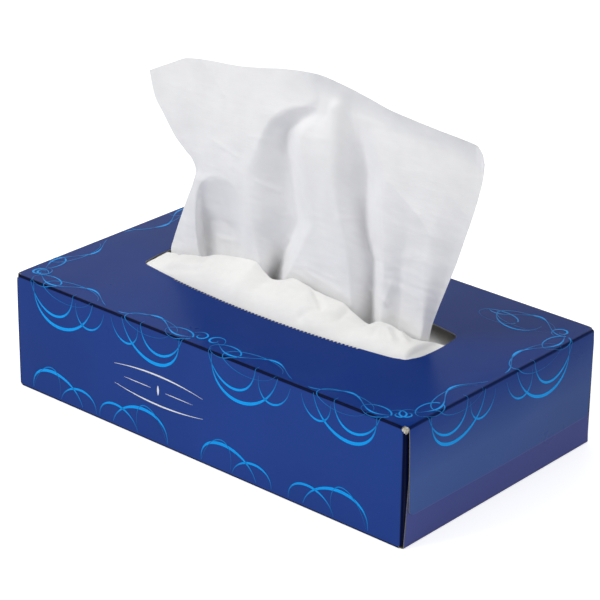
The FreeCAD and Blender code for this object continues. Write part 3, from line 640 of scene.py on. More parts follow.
def swell(points, settings):
    """The small swellings and the crushed corners that keep the carton from being a perfect block."""
    x, y, z = points.T
    side = np.sign(x)
    up = np.sin(math.pi * np.clip(z / HEIGHT, 0, 1))
    across = np.clip(1 - (y / HALF_WIDTH) ** 2, 0, 1)
    along = np.clip(1 - (x / HALF_LENGTH) ** 2, 0, 1)
    at_end = smooth(SLEEVE_END - END_SWELL_FROM, SLEEVE_END, np.abs(x))
    wave = 1 + 0.35 * np.sin(y / 19 + side) + 0.25 * np.sin(z / 9 + 2 * side)
    moved = points.copy()
    moved[:, 0] += side * settings.end_bulge / MM * up * across ** 0.6 * at_end * wave
    at_wall = smooth(HALF_WIDTH - SWELL_FROM, HALF_WIDTH - SWELL_FULL, np.abs(y)) * (1 - at_end)
    ripple = 1 + 0.4 * np.sin(x / 31)
    moved[:, 1] += np.sign(y) * settings.panel_bulge / MM * up * (along ** 0.5) * at_wall * ripple
    at_lid = smooth(HEIGHT - SWELL_FROM, HEIGHT - SWELL_FULL, z) * (1 - at_end)
    moved[:, 2] += 0.6 * settings.panel_bulge / MM * across * (along ** 0.5) * at_lid
    crush = settings.corner_crush / MM
    for corner, share, reach in CRUSHED:
        offset = points - np.array(corner)
        weight = np.exp(-np.sum(offset ** 2, axis=1) / reach ** 2)[:, None]
        moved -= weight * crush * share * np.sign(corner) * np.array([0.9, 0.7, 1.0])
    return moved


def spaced(low, high, fixed=()):
    """Lines from low to high through the fixed ones, with steps near the grid step."""
    stops = sorted({low, high, *[f for f in fixed if low < f < high]})
    lines = []
    for start, end in zip(stops, stops[1:]):
        count = max(1, round((end - start) / GRID_STEP))
        lines += [start + (end - start) * i / count for i in range(count)]
    return lines + [high]


def opening_outline():
    """The torn opening's edge on the top panel, anticlockwise, with the notches between the teeth."""
    half_long = LONG_RADIUS - OPENING_HALF_WIDTH
    half_end = END_RADIUS - OPENING_HALF_LENGTH

    def corner(x_side, y_side, radius):
        long_centre = np.array([0.0, -y_side * half_long])
        end_centre = np.array([-x_side * half_end, 0.0])
        gap = end_centre - long_centre
        apart = np.hypot(*gap)
        near, far = LONG_RADIUS - radius, END_RADIUS - radius
        along = (near ** 2 - far ** 2 + apart ** 2) / (2 * apart)
        off = math.sqrt(near ** 2 - along ** 2)
        unit = gap / apart
        normal = np.array([-unit[1], unit[0]])
        found = [long_centre + unit * along + normal * off * sign for sign in (-1, 1)]
        centre = max(found, key=lambda p: p[0] * x_side + p[1] * y_side)
        return centre, long_centre, end_centre

    def arc(centre, radius, start, end, steps):
        while end < start:
            end += 2 * math.pi
        angles = np.linspace(start, end, steps)
        return [centre + radius * np.array([math.cos(a), math.sin(a)]) for a in angles]

    def heading(start, end):
        return math.atan2(end[1] - start[1], end[0] - start[0])

    corners = [
        (1, -1, FRONT_RIGHT_RADIUS), (1, 1, BACK_RADIUS), (-1, 1, BACK_RADIUS), (-1, -1, FRONT_LEFT_RADIUS),
    ]
    made = [corner(*c) for c in corners]
    outline = []
    for index, (x_side, y_side, radius) in enumerate(corners):
        centre, long_centre, end_centre = made[index]
        to_long, to_end = heading(long_centre, centre), heading(end_centre, centre)
        first, last = (to_long, to_end) if x_side * y_side < 0 else (to_end, to_long)
        outline += arc(centre, radius, first, last, CORNER_POINTS)
        after = made[(index + 1) % 4]
        if x_side * y_side < 0:
            outline += arc(end_centre, END_RADIUS, to_end, heading(end_centre, after[0]), END_POINTS)[1:-1]
            continue
        end_angle = heading(long_centre, after[0])
        half = (NOTCHES - 1) / 2 * NOTCH_PITCH / LONG_RADIUS
        middle = math.pi / 2 * y_side
        pieces = [arc(long_centre, LONG_RADIUS, to_long, middle - half - NOTCH_MARGIN, LONG_POINTS)[1:]]
        for i in range(NOTCHES):
            angle = middle - half + i * NOTCH_PITCH / LONG_RADIUS
            radial = np.array([math.cos(angle), math.sin(angle)])
            tangent = np.array([-radial[1], radial[0]])
            ragged = 0.82 + 0.3 * noise.noise(Vector((i * 0.71, y_side * 3.0, 0.0)))
            for across, out in ((-0.75, 0.0), (-0.5, ragged), (0.5, ragged), (0.75, 0.0)):
                reach = LONG_RADIUS + NOTCH_DEEP * out
                pieces.append([long_centre + radial * reach + tangent * NOTCH_WIDE * across])
        last = middle + half + NOTCH_MARGIN
        pieces.append(arc(long_centre, LONG_RADIUS, last, end_angle, LONG_POINTS)[:-1])
        outline += [p for piece in pieces for p in piece]
    return np.array(outline) + np.array([OPENING_SHIFT, 0.0])


def inside(points, loop):
    """Which points lie inside a closed loop."""
    x, y = points[:, 0][:, None], points[:, 1][:, None]
    ax, ay = loop.T
    bx, by = np.roll(loop, -1, axis=0).T
    crosses = ((ay > y) != (by > y)) & (x < (bx - ax) * (y - ay) / (by - ay + 1e-12) + ax)
    return crosses.sum(axis=1) % 2 == 1


class Blank:
    """The flat board, gathered face by face. Points that fall together are one."""

    def __init__(self):
        self.points, self.index, self.faces, self.tips = [], {}, [], set()

    def point(self, x, s):
        key = (round(x, 3), round(s, 3))
        if key not in self.index:
            self.index[key] = len(self.points)
            self.points.append((x, s))
        return self.index[key]

    def grid(self, rows):
        """Faces between rows of (x, s) points, wound so that the printed face looks out."""
        ids = [[self.point(*p) for p in row] for row in rows]
        for low, high in zip(ids, ids[1:]):
            for a, b, c, d in zip(low, low[1:], high[1:], high):
                self.add([a, b, c, d])
        return ids

    def add(self, corners):
        loop = [i for i, j in zip(corners, corners[1:] + corners[:1]) if i != j]
        if len(loop) < 3:
            return
        area = sum(self.points[a][0] * self.points[b][1] - self.points[b][0] * self.points[a][1]
                   for a, b in zip(loop, loop[1:] + loop[:1]))
        self.faces.append(loop if area < 0 else loop[::-1])


def cut_blank():
    """The whole blank: sleeve, torn opening and the eight end flaps."""
    blank = Blank()
    outline = opening_outline()
    beside_ends = [side * (SLEEVE_END - inset) for side in (-1, 1) for inset in NEAR_END]
    x_lines = spaced(-SLEEVE_END, SLEEVE_END, (*beside_ends, *WINDOW_X))
    window_s = sorted(on_top(y) for y in WINDOW_Y)
    s_lines = []
    for (low, high), fixed in ((GLUE_RUN, ()), (TOP_RUN, (*LID_FLAP, *window_s)), (FRONT_RUN, FRONT_FLAP),
                               (BOTTOM_RUN, BASE_FLAP), (BACK_RUN, BACK_FLAP)):
        beside = [line for inset in NEAR_CREASE for line in (low + inset, high - inset)]
        s_lines += spaced(low, high, (*fixed, *beside))
        s_lines += [high + FOLD_ARC * i / FOLD_STEPS for i in range(1, FOLD_STEPS)]
    s_lines = sorted({round(s, 4) for s in s_lines if s <= BACK_RUN[1] + 1e-6})
    for s0, s1 in zip(s_lines, s_lines[1:]):
        for x0, x1 in zip(x_lines, x_lines[1:]):
            if not (window_s[0] < (s0 + s1) / 2 < window_s[1] and WINDOW_X[0] < (x0 + x1) / 2 < WINDOW_X[1]):
                blank.grid([[(x0, s0), (x1, s0)], [(x0, s1), (x1, s1)]])
    add_window(blank, outline, x_lines, s_lines, window_s)
    for side in (-1, 1):
        for span, crease, length, taper in END_FLAPS:
            add_flap(blank, side, s_lines, span, crease, length - FOLD_RADIUS, taper)
    return blank


def add_window(blank, outline, x_lines, s_lines, window_s):
    """The part of the top panel round the opening, in triangles that follow its torn edge."""
    xs = [x for x in x_lines if WINDOW_X[0] - 1e-6 <= x <= WINDOW_X[1] + 1e-6]
    ss = [s for s in s_lines if window_s[0] - 1e-3 <= s <= window_s[1] + 1e-3]
    border = [(x, ss[0]) for x in xs[:-1]] + [(xs[-1], s) for s in ss[:-1]]
    border += [(x, ss[-1]) for x in xs[:0:-1]] + [(xs[0], s) for s in ss[:0:-1]]
    hole = np.stack([outline[:, 0], on_top(outline[:, 1])], axis=1)
    loose = []
    for x in np.arange(xs[0] + 3, xs[-1] - 2, LOOSE_STEP):
        for s in np.arange(ss[0] + 3, ss[-1] - 2, LOOSE_STEP):
            if np.hypot(hole[:, 0] - x, hole[:, 1] - s).min() > LOOSE_GAP:
                loose.append((x, s))
    loose = np.array(loose)
    loose = loose[~inside(loose, hole)]
    points = [Vector(p) for p in border] + [Vector(p) for p in hole] + [Vector(p) for p in loose]
    b, h = len(border), len(hole)
    edges = [(i, (i + 1) % b) for i in range(b)] + [(b + i, b + (i + 1) % h) for i in range(h)]
    found, _, faces, *_ = delaunay_2d_cdt(points, edges, [], 0, 1e-5)
    flat = np.array([p[:] for p in found])
    keep = [f for f in faces if len(f) == 3]
    middles = np.array([flat[list(f)].mean(axis=0) for f in keep])
    out = inside(middles, hole)
    for face, is_hole in zip(keep, out):
        if not is_hole:
            blank.add([blank.point(*flat[i]) for i in face])


def add_flap(blank, side, s_lines, span, crease, length, taper):
    """One end flap, narrowed towards its free edge and rounded at its corners."""
    corner = FLAP_CORNER
    low, high = min(span), max(span)
    columns = [s for s in s_lines if low - 1e-3 <= s <= high + 1e-3]
    middle, half = (low + high) / 2, (high - low) / 2
    tip = crease + FOLD_ARC + length
    rows = [SLEEVE_END, SLEEVE_END + (crease - SLEEVE_END) * 0.5]
    rows += [crease + FOLD_ARC * i / FOLD_STEPS for i in range(FOLD_STEPS + 1)]
    rows += spaced(crease + FOLD_ARC + 0.6, tip - corner)
    rounding = [math.sin(math.pi / 2 * i / CORNER_STEPS) for i in range(1, CORNER_STEPS + 1)]
    rows += [tip - corner + corner * share for share in rounding]
    grid = []
    for reach in rows:
        narrow = taper * max(0.0, reach - crease) / (tip - crease)
        past = max(0.0, reach - (tip - corner))
        narrow += corner - math.sqrt(max(0.0, corner ** 2 - past ** 2))
        share = (half - narrow) / half
        grid.append([(side * reach, middle + (s - middle) * share) for s in columns])
    for row in blank.grid(grid)[-2:]:
        blank.tips.update(row)


def close_board(blank, settings):
    """The board's printed face, its raw inner face and the cut edges, as points, faces and face kinds."""
    outer = fold_board(blank.points, 0.0, settings)
    inner = fold_board(blank.points, -BOARD, settings)
    count = len(outer)
    edges = dict.fromkeys((a, b) for face in blank.faces for a, b in zip(face, face[1:] + face[:1]))
    rim = [(a, b) for a, b in edges if (b, a) not in edges]
    faces = list(blank.faces) + [[i + count for i in reversed(f)] for f in blank.faces]
    faces += [[b, a, a + count, b + count] for a, b in rim]
    kinds = [0] * len(blank.faces) + [1] * len(blank.faces) + [2] * len(rim)
    return np.concatenate([outer, inner]), faces, kinds


def fold_shade_and_wear_marks(blank):
    """How strongly each point of the blank takes the painted shade of the folds, from 0 to 1; the same mask
    keeps the scuffs near the folds. The hidden dust flaps take the painted shade fully.
    """
    x, s = np.array(blank.points).T
    mark = np.zeros(len(s))
    for low, high in ((GLUE_RUN[1], TOP_RUN[0]), (TOP_RUN[1], FRONT_RUN[0]), (FRONT_RUN[1], BOTTOM_RUN[0]),
                      (BOTTOM_RUN[1], BACK_RUN[0])):
        away = np.abs(s - (low + high) / 2) - FOLD_ARC / 2
        mark = np.maximum(mark, 1 - np.clip(away / MARK_WIDTH, 0, 1))
    away = np.abs(np.abs(x) - crease_of(s) - FOLD_ARC / 2) - FOLD_ARC / 2
    mark = np.maximum(mark, 0.8 * (1 - np.clip(away / MARK_WIDTH, 0, 1)))
    on_dust_flap = (np.abs(x) > DUST_CREASE) & (crease_of(s) == DUST_CREASE)
    return np.where(on_dust_flap, 1.0, mark)


def panel_marks(blank):
    """Where the blank's points lie: on the walls, painted a paler blue than the lid as painted light, on the
    end flaps, painted paler low down as painted light, and on the bottom end flaps, which show as a greyer
    strip under the top flap's edge."""
    x, s = np.array(blank.points).T
    on_lid = (s > TOP_RUN[0] - MARK_MARGIN) & (s < TOP_RUN[1] + MARK_MARGIN)
    on_lid &= np.abs(x) < TOP_CREASE + MARK_MARGIN
    end = np.abs(x) > crease_of(s) + MARK_MARGIN
    strip = (np.abs(x) > BOTTOM_CREASE) & (crease_of(s) == BOTTOM_CREASE)
    return {"wall": ~on_lid, "end": end, "strip": strip}


def varnish(settings):
    """Deep blue ink under a satin varnish, with painted shade along the folds and on the dust flaps, painted
    light that makes the walls and the lower end flaps paler, and rubbed pale at the knocked corners.
    """
    shader = Shader("printed_board", settings.gloss_roughness, 0.03)
    tone = shader.ranged(shader.noise(7.0, 3.0), 0.3, 0.7, 0.88, 1.14)
    # Painted light: the walls get a paler blue than the lid.
    ink = shader.mixed(shader.attribute("wall").outputs["Fac"], settings.ink, settings.lit_wall_ink)
    height = shader.nodes.new("ShaderNodeSeparateXYZ")
    shader.link(shader.place, height.inputs[0])
    # Painted light: from 54 mm down to 30 mm the end flaps turn a paler blue.
    low = shader.ranged(height.outputs["Z"], 0.054, 0.030)
    low_end = shader.math("MULTIPLY", low, shader.attribute("end").outputs["Fac"])
    ink = shader.mixed(low_end, ink, settings.end_light_ink)
    toned = shader.nodes.new("ShaderNodeVectorMath")
    toned.operation = "SCALE"
    shader.link(ink, toned.inputs[0])
    shader.link(tone, toned.inputs["Scale"])
    # Painted shade along the folds and over the dust flaps; the same mask keeps the scuffs near the folds.
    mark = shader.attribute("fold_mark").outputs["Fac"]
    creased = shader.mixed(shader.ranged(mark, 0.2, 1.0), toned.outputs[0], settings.fold_shade_ink)
    strip = shader.attribute("strip").outputs["Fac"]
    creased = shader.mixed(shader.math("MULTIPLY", strip, 0.8), creased, settings.strip_ink)
    tip = shader.attribute("flap_tip").outputs["Fac"]
    creased = shader.mixed(shader.math("MULTIPLY", tip, 0.85), creased, settings.tip_ink)
    grain = shader.noise(900.0, 4.0, 0.65)
    rubbed = None
    for corner, reach in RUBBED:
        near = shader.near(corner, reach)
        rubbed = near if rubbed is None else shader.math("MAXIMUM", rubbed, near)
    torn = shader.ranged(shader.math("ADD", rubbed, shader.math("MULTIPLY", grain, 0.7)), 0.82, 0.95)
    scuffs = shader.ranged(shader.noise(260.0, 3.0, 0.6), 0.76, 0.80, 0.0, 0.35)
    scuffs = shader.math("MULTIPLY", scuffs, shader.ranged(mark, 0.2, 0.8))
    scuffs = shader.math("MULTIPLY", scuffs, shader.near(FRONT_RIGHT_TOP, SCUFF_REACH))
    worn = shader.mixed(shader.math("MAXIMUM", torn, scuffs), creased, settings.cut_edge)
    shader.colour(worn)
    haze = shader.ranged(shader.noise(38.0, 4.0, 0.6), 0.3, 0.7,
                         settings.gloss_roughness - 0.03, settings.gloss_roughness + 0.05)
    shader.link(shader.math("MAXIMUM", haze, torn), shader.surface.inputs["Roughness"])
    shader.bump(shader.noise(22.0, 2.0), 0.25, 0.0006)
    shader.bump(shader.noise(1500.0, 2.0), 0.05, 0.00005)
    return shader.material


def raw_board(settings):
    """Unprinted recycled board, grey-brown with flecks of fibre."""
    shader = Shader("raw_board", 0.85, 0.2)
    fibre = shader.noise(420.0, 5.0, 0.7, shader.stretched((1.0, 2.2, 2.2)))
    dark = tuple(c * 0.72 for c in settings.raw_board)
    pale = tuple(c * 1.25 for c in settings.raw_board)
    shader.colour(shader.mixed(shader.ranged(fibre, 0.35, 0.65), dark, pale))
    shader.bump(fibre, 0.3, 0.0001)
    return shader.material


def cut_edge(settings):
    """The pale cut edge of the board, mottled by its fibres."""
    shader = Shader("board_edge", 0.9, 0.2)
    fibre = shader.noise(1100.0, 3.0, 0.7)
    shader.colour(shader.mixed(shader.ranged(fibre, 0.35, 0.7), tuple(c * 0.6 for c in settings.cut_edge),
                               settings.cut_edge))
    shader.bump(fibre, 0.4, 0.0001)
    return shader.material


class TISSUEBOX_OT_fold_carton(bpy.types.Operator):
    """Fold the printed blank into the glued carton with its torn opening"""
    bl_idname = "tissuebox.fold_carton"
    bl_label = "Fold Carton"

    def execute(self, context):
        settings = context.scene.tissuebox_carton
        blank = cut_blank()
        points, faces, kinds = close_board(blank, settings)
        materials = [varnish(settings), raw_board(settings), cut_edge(settings)]
        carton = new_piece("printed_carton", points, faces, materials)
        mesh = carton.data
        if len(mesh.polygons) != len(kinds):
            raise RuntimeError("the folded carton lost faces")
        mesh.polygons.foreach_set("material_index", kinds)
        tips = np.zeros(len(blank.points))
        tips[list(blank.tips)] = 1.0
        for name, values in {**panel_marks(blank), "fold_mark": fold_shade_and_wear_marks(blank), "flap_tip": tips}.items():
            layer = mesh.attributes.new(name, "FLOAT", "POINT")
            layer.data.foreach_set("value", np.tile(values, 2).astype(np.float32))
        shade(mesh, 40)
        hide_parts("carton")
        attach(carton, "root")
        self.fray(settings)
        return {"FINISHED"}

    def fray(self, settings):
        """The knocked corner's torn paper: a small crumpled wad where the panels meet."""
        form = bmesh.new()
        bmesh.ops.create_icosphere(form, subdivisions=4, radius=1.0)
        centre = Vector((HALF_LENGTH - FRAY_INSET[0], -HALF_WIDTH + FRAY_INSET[1], HEIGHT - FRAY_INSET[2]))
        for vertex in form.verts:
            rough = 1 + 0.45 * noise.noise(vertex.co * 1.7) + 0.2 * noise.noise(vertex.co * 4.1)
            vertex.co = (centre + Vector(c * rough * r for c, r in zip(vertex.co, FRAY_RADII))) * MM
        mesh = bpy.data.meshes.new("corner_fray")
        form.to_mesh(mesh)
        form.free()
        shader = Shader("torn_paper", 0.95, 0.1)
        fibre = shader.noise(900.0, 4.0, 0.7)
        weight = shader.ranged(fibre, 0.35, 0.65)
        shader.colour(shader.mixed(weight, settings.torn_shade, settings.torn_paper))
        shader.bump(fibre, 0.5, 0.0002)
        mesh.materials.append(shader.material)
        shade(mesh, 40)
        piece = bpy.data.objects.new("corner_fray", mesh)
        bpy.context.scene.collection.objects.link(piece)
        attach(piece, "root")


# The printed lines.

def stroke(points, widest, start=0.0, end=1.0):
    """A line of the print: (x, distance along the board) points with a width that swells between its ends."""
    points = np.array(points, float)
    share = np.linspace(0, 1, len(points))
    width = widest * (0.16 + 0.84 * np.sin(math.pi * (start + (end - start) * share)) ** 2)
    return [(x, s, w) for (x, s), w in zip(points, width)]


def scroll(x, s, radius, turns, heading, hand, widest):
    """A line that winds inwards from a tail to a small eye."""
    points = []
    for t in np.linspace(0, 1, 26):
        r = radius * (1 - 0.82 * t ** 0.8)
        a = heading + hand * 2 * math.pi * turns * t
        points.append((x + r * math.cos(a), s + r * math.sin(a)))
    return stroke(points, widest, 0.05, 0.95)


def wave(x0, x1, s, rise, lengths, phase, widest):
    """A long running wave whose line swells on every swing."""
    made = []
    for t in np.linspace(0, 1, int(26 * lengths) + 2):
        a = 2 * math.pi * lengths * t + phase
        width = widest * (0.3 + 0.7 * math.sin(a) ** 2) * (0.2 + 0.8 * math.sin(math.pi * t) ** 0.4)
        made.append((x0 + (x1 - x0) * t, s + rise * math.sin(a), width))
    return made


def ring(x, s, wide, high, widest, start=0.0):
    """A closed oval, thick on one side and thin on the other."""
    angles = np.linspace(0.15, 2 * math.pi - 0.15, 30)
    widths = [widest * (0.25 + 0.75 * math.sin((a - start) / 2) ** 2) for a in angles]
    return [(x + wide * math.cos(a), s + high * math.sin(a), width) for a, width in zip(angles, widths)]


def garland(x, s, wide, deep, widest, lean=0.0):
    """An arc that hangs from the fold, boldest at its lowest point."""
    points = []
    for t in np.linspace(0.03, 0.97, 24):
        a = math.pi * t
        points.append((x + wide * math.cos(a) + lean * math.sin(a), s + deep * math.sin(a) ** 0.9))
    return stroke(points, widest, 0.05, 0.95)


def hang(x, edge, hand, size, table):
    """Garlands at an edge, from rows of shift, offset from the edge, half width, depth, line width and lean.
    The hand mirrors them and the size scales them."""
    return [garland(x + shift * hand, edge + off, wide * size, deep * size, widest, lean * hand)
            for shift, off, wide, deep, widest, lean in table]


def spray(x, edge, sign, hand, size):
    """One ornament over a fold: garlands on the wall, open loops and a small scroll on the lid."""
    shift = hand * size
    return [
        garland(x, edge - sign * 2.0, 19.0 * size, sign * 20.0 * size, BOLD, 3.0 * hand),
        garland(x + 8.0 * shift, edge - sign * 4.5, 14.0 * size, sign * 17.5 * size, BROAD, -2.0 * hand),
        garland(x - 17.0 * shift, edge + sign * 1.0, 9.0 * size, sign * 12.0 * size, MEDIUM, 1.5 * hand),
        ring(x - 2.0 * shift, edge - sign * 2.5, 16.0 * size, 7.5 * size, FINE, 0.6),
        ring(x + 15.0 * shift, edge - sign * 4.0, 8.0 * size, 5.0 * size, 0.65, 2.4),
        wave(x - 24.0 * size, x + 24.0 * size, edge - sign * 6.5 * size, sign * 4.2 * size, 1.25, 0.5 + hand,
             0.95),
        scroll(x + 25.0 * shift, edge - sign * 8.5 * size, 5.4 * size, 1.2, math.pi / 2 + hand * 1.2,
               hand * sign, MEDIUM),
    ]


def long_edge_lines(edge, sign):
    """The lines that run along a long top edge."""
    lines = []
    for x, hand, size in ((-83.0, -1, 1.0), (-29.0, 1, 0.92), (27.0, -1, 1.0), (82.0, 1, 0.9)):
        lines += spray(x, edge, sign, hand, size)
    return lines


def low_edge_lines(edge):
    """The lower border of the front panel: bold arcs that spring from the bottom fold in pairs."""
    arcs = (
        (0.0, -0.5, 17.0, -14.0, BOLD, -3.0), (13.0, -0.5, 12.0, -10.5, BROAD, 2.0),
        (-8.0, -0.5, 9.0, -16.0, 0.45, 4.0),
    )
    lines = []
    for x, hand, size in ((-88.0, 1, 0.95), (-36.0, -1, 1.0), (18.0, 1, 0.95), (78.0, -1, 1.05)):
        lines += hang(x, edge, hand, size, arcs)
    return lines


def end_lines(side):
    """The lines over the short top edges, drawn on the blank past the end flap's fold."""
    turned = []
    for line in spray(-32.0, 0.0, 1, -1, 0.95) + spray(26.0, 0.0, 1, 1, 1.0):
        turned.append([(side * (HALF_LENGTH + out), on_top(y), w) for y, out, w in line])
    return turned


def back_lines():
    """Arcs on the back panel under its seam and over the bottom, and thin loops on the lid's back corners."""
    upper = (
        (0.0, -1.5, 19.0, -19.0, BOLD, 3.0), (8.0, -1.5, 14.0, -15.0, BROAD, -2.0),
        (-16.0, -1.5, 9.0, -11.0, MEDIUM, 1.5),
    )
    lower = ((4.0, -0.5, 17.0, 14.0, BOLD, -3.0), (-9.0, -0.5, 12.0, 10.5, BROAD, 2.0))
    lines = []
    for x, hand, size in ((-80.0, 1, 1.0), (-26.0, -1, 0.9), (30.0, 1, 1.0), (84.0, -1, 0.9)):
        lines += hang(x, BACK_RUN[1], hand, size, upper) + hang(x, BACK_RUN[0], hand, size, lower)
    for x, hand in ((-92.0, 1), (88.0, -1)):
        lines.append(ring(x, on_top(50.0), 15.0, 7.0, FINE, 0.4))
        lines.append(ring(x + 12.0 * hand, on_top(46.0), 10.0, 5.5, 0.6, 2.0))
        lines.append(wave(x - 20.0, x + 22.0, on_top(53.0), 5.0, 1.2, 0.8, 0.9))
        lines.append(garland(x + 4.0 * hand, on_top(52.0), 12.0, 12.0, MEDIUM, 3.0))
    return lines


def white_lines():
    """A plain divider in white on the front panel: tapered rules above and below a small lozenge."""
    x, s = -24.0, on_front(27.0)
    lines = []
    for hand in (-1, 1):
        rule = [(x + 27 * t, s + hand * (7.2 - 2.4 * t * t)) for t in np.linspace(-1, 1, 15)]
        lines.append(stroke(rule, 0.7, 0.05, 0.95))
        lines.append([(x + hand * 4.5, s, 0.1), (x + hand * 12, s, 0.55), (x + hand * 21, s, 0.05)])
    lines.append([(x, s - 2.4, 0.1), (x, s, 2.0), (x, s + 2.4, 0.1)])
    return lines


def ribbon_tree(material):
    """A node tree that turns curves into flat ribbons as wide as the curve's radius says."""
    tree, names = new_tree("ink_ribbon", {"Step": "NodeSocketFloat", "Line width": "NodeSocketFloat"})
    nodes = add_nodes(tree, {
        "inputs": "NodeGroupInput", "resample": "GeometryNodeResampleCurve",
        "radius": "GeometryNodeInputRadius", "store": "GeometryNodeStoreNamedAttribute",
        "plus": "ShaderNodeMath", "minus": "ShaderNodeMath",
        "start": "ShaderNodeCombineXYZ", "end": "ShaderNodeCombineXYZ",
        "line": "GeometryNodeCurvePrimitiveLine", "ribbon": "GeometryNodeCurveToMesh",
        "realize": "GeometryNodeRealizeInstances", "paint": "GeometryNodeSetMaterial",
        "outputs": "NodeGroupOutput",
    })
    nodes["resample"].mode = "LENGTH"
    for name, share in (("plus", 0.5), ("minus", -0.5)):
        nodes[name].operation = "MULTIPLY"
        nodes[name].inputs[1].default_value = share
    nodes["store"].data_type = "FLOAT"
    nodes["store"].domain = "POINT"
    nodes["store"].inputs["Name"].default_value = "tint"
    nodes["paint"].inputs["Material"].default_value = material
    wire(tree, nodes, (
        ("inputs", "Geometry", "resample", "Curve"),
        ("inputs", "Step", "resample", "Length"),
        ("resample", "Curve", "store", "Geometry"),
        ("radius", "Radius", "store", "Value"),
        ("store", "Geometry", "ribbon", "Curve"),
        ("radius", "Radius", "ribbon", "Scale"),
        ("inputs", "Line width", "plus", 0),
        ("inputs", "Line width", "minus", 0),
        ("plus", 0, "start", "X"),
        ("minus", 0, "end", "X"),
        ("start", 0, "line", "Start"),
        ("end", 0, "line", "End"),
        ("line", "Curve", "ribbon", "Profile Curve"),
        ("ribbon", "Mesh", "realize", "Geometry"),
        ("realize", "Geometry", "paint", "Geometry"),
        ("paint", "Geometry", "outputs", "Geometry"),
    ))
    return tree, names


def draw_lines(name, lines, material, scale):
    """Curves on the flat blank, made into ribbons by the node tree: a plain mesh in millimetres."""
    data = bpy.data.curves.new(name, "CURVE")
    data.dimensions = "3D"
    for line in lines:
        spline = data.splines.new("NURBS")
        spline.points.add(len(line) - 1)
        for point, (x, s, width) in zip(spline.points, line):
            point.co = (x, s, 0.0, 1.0)
            point.radius = width
        spline.order_u = 3
        spline.use_endpoint_u = True
    curves = bpy.data.objects.new(name, data)
    bpy.context.scene.collection.objects.link(curves)
    mesh = grow(curves, *ribbon_tree(material), {"Step": RIBBON_STEP, "Line width": scale})
    bpy.data.curves.remove(data)
    if not mesh.polygons:
        raise RuntimeError(f"{name} has no ribbons")
    return mesh


def lay_on_board(mesh, name, settings, lift):
    """Folds a flat ribbon mesh onto the carton, looking outwards."""
    flat = np.zeros(len(mesh.vertices) * 3)
    mesh.vertices.foreach_get("co", flat)
    flat = flat.reshape(-1, 3)
    if np.ptp(flat[:, 2]) > 0.01:
        raise RuntimeError(f"{name}'s ribbons don't lie flat")
    tint = np.zeros(len(mesh.vertices), np.float32)
    mesh.attributes["tint"].data.foreach_get("value", tint)
    low, high = GIRTH[0, 0], GIRTH[-1, 0]
    flat[:, 1] = np.clip(flat[:, 1], low, high)
    faces = []
    for polygon in mesh.polygons:
        corners = list(polygon.vertices)
        area = sum(flat[a, 0] * flat[b, 1] - flat[b, 0] * flat[a, 1]
                   for a, b in zip(corners, corners[1:] + corners[:1]))
        if abs(area) > 1e-5:
            faces.append(corners if area < 0 else corners[::-1])
    points = fold_board(flat[:, :2], lift, settings)
    materials = list(mesh.materials)
    bpy.data.meshes.remove(mesh)
    piece = new_piece(name, points, faces, materials)
    piece.data.attributes.new("tint", "FLOAT", "POINT").data.foreach_set("value", tint)
    piece.data.polygons.foreach_set("use_smooth", [True] * len(piece.data.polygons))
    return piece


def light_ink(settings, gloss_roughness):
    """Light blue ink, fading where the line is thin."""
    shader = Shader("light_ink", gloss_roughness, 0.03)
    fade = shader.ranged(shader.attribute("tint").outputs["Fac"], 0.2, 0.85)
    speck = shader.ranged(shader.noise(300.0, 2.0), 0.3, 0.7, 0.9, 1.05)
    shader.colour(shader.mixed(shader.math("MULTIPLY", fade, speck), settings.thin_ink, settings.light_ink))
    shader.bump(shader.noise(22.0, 2.0), 0.25, 0.0006)
    return shader.material


def white_ink(settings, gloss_roughness):
    """Opaque white ink with a faint mottle."""
    shader = Shader("white_ink", gloss_roughness, 0.5)
    mottle = shader.ranged(shader.noise(500.0, 3.0), 0.3, 0.7)
    shader.colour(shader.mixed(mottle, tuple(c * 0.9 for c in settings.white_ink), settings.white_ink))
    return shader.material


class TISSUEBOX_OT_print_lines(bpy.types.Operator):
    """Print the light blue lines and the small white divider on the carton"""
    bl_idname = "tissuebox.print_lines"
    bl_label = "Print Lines"

    def execute(self, context):
        carton, ink = context.scene.tissuebox_carton, context.scene.tissuebox_print
        lines = long_edge_lines(TOP_EDGE, 1) + low_edge_lines(LOW_EDGE) + end_lines(1) + end_lines(-1)
        lines += back_lines()
        blue, white = light_ink(ink, carton.gloss_roughness), white_ink(ink, carton.gloss_roughness)
        scrolls = draw_lines("blue_lines", lines, blue, ink.line_scale)
        divider = draw_lines("white_lines", white_lines(), white, ink.line_scale)
        for mesh, name in ((scrolls, "printed_scrolls"), (divider, "printed_divider")):
            piece = lay_on_board(mesh, name, carton, ink.film_lift / MM)
            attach(piece, "root")
        return {"FINISHED"}


# The tissues.

def arch_hollow(x, z):
    """Depth of the hollow under the arch: crisp along its crown, leaning outwards below it."""
    left, right = (flowing(*np.array(side).T, z) for side in (ARCH_LEFT, ARCH_RIGHT))
    crown = ARCH_SPRING + ARCH_RISE * np.sqrt(np.clip(1 - ((x - ARCH_MIDDLE) / ARCH_HALF) ** 2, 0, 1))
    depth = ARCH_DEPTH * np.clip((crown - z) / ARCH_FALL, 0, 1) - 2.0 * smooth(72, 55, z)
    return np.maximum(depth, 0.0) * smooth(0.0, 6.0, x - left) * smooth(0.0, 11.0, right - x)


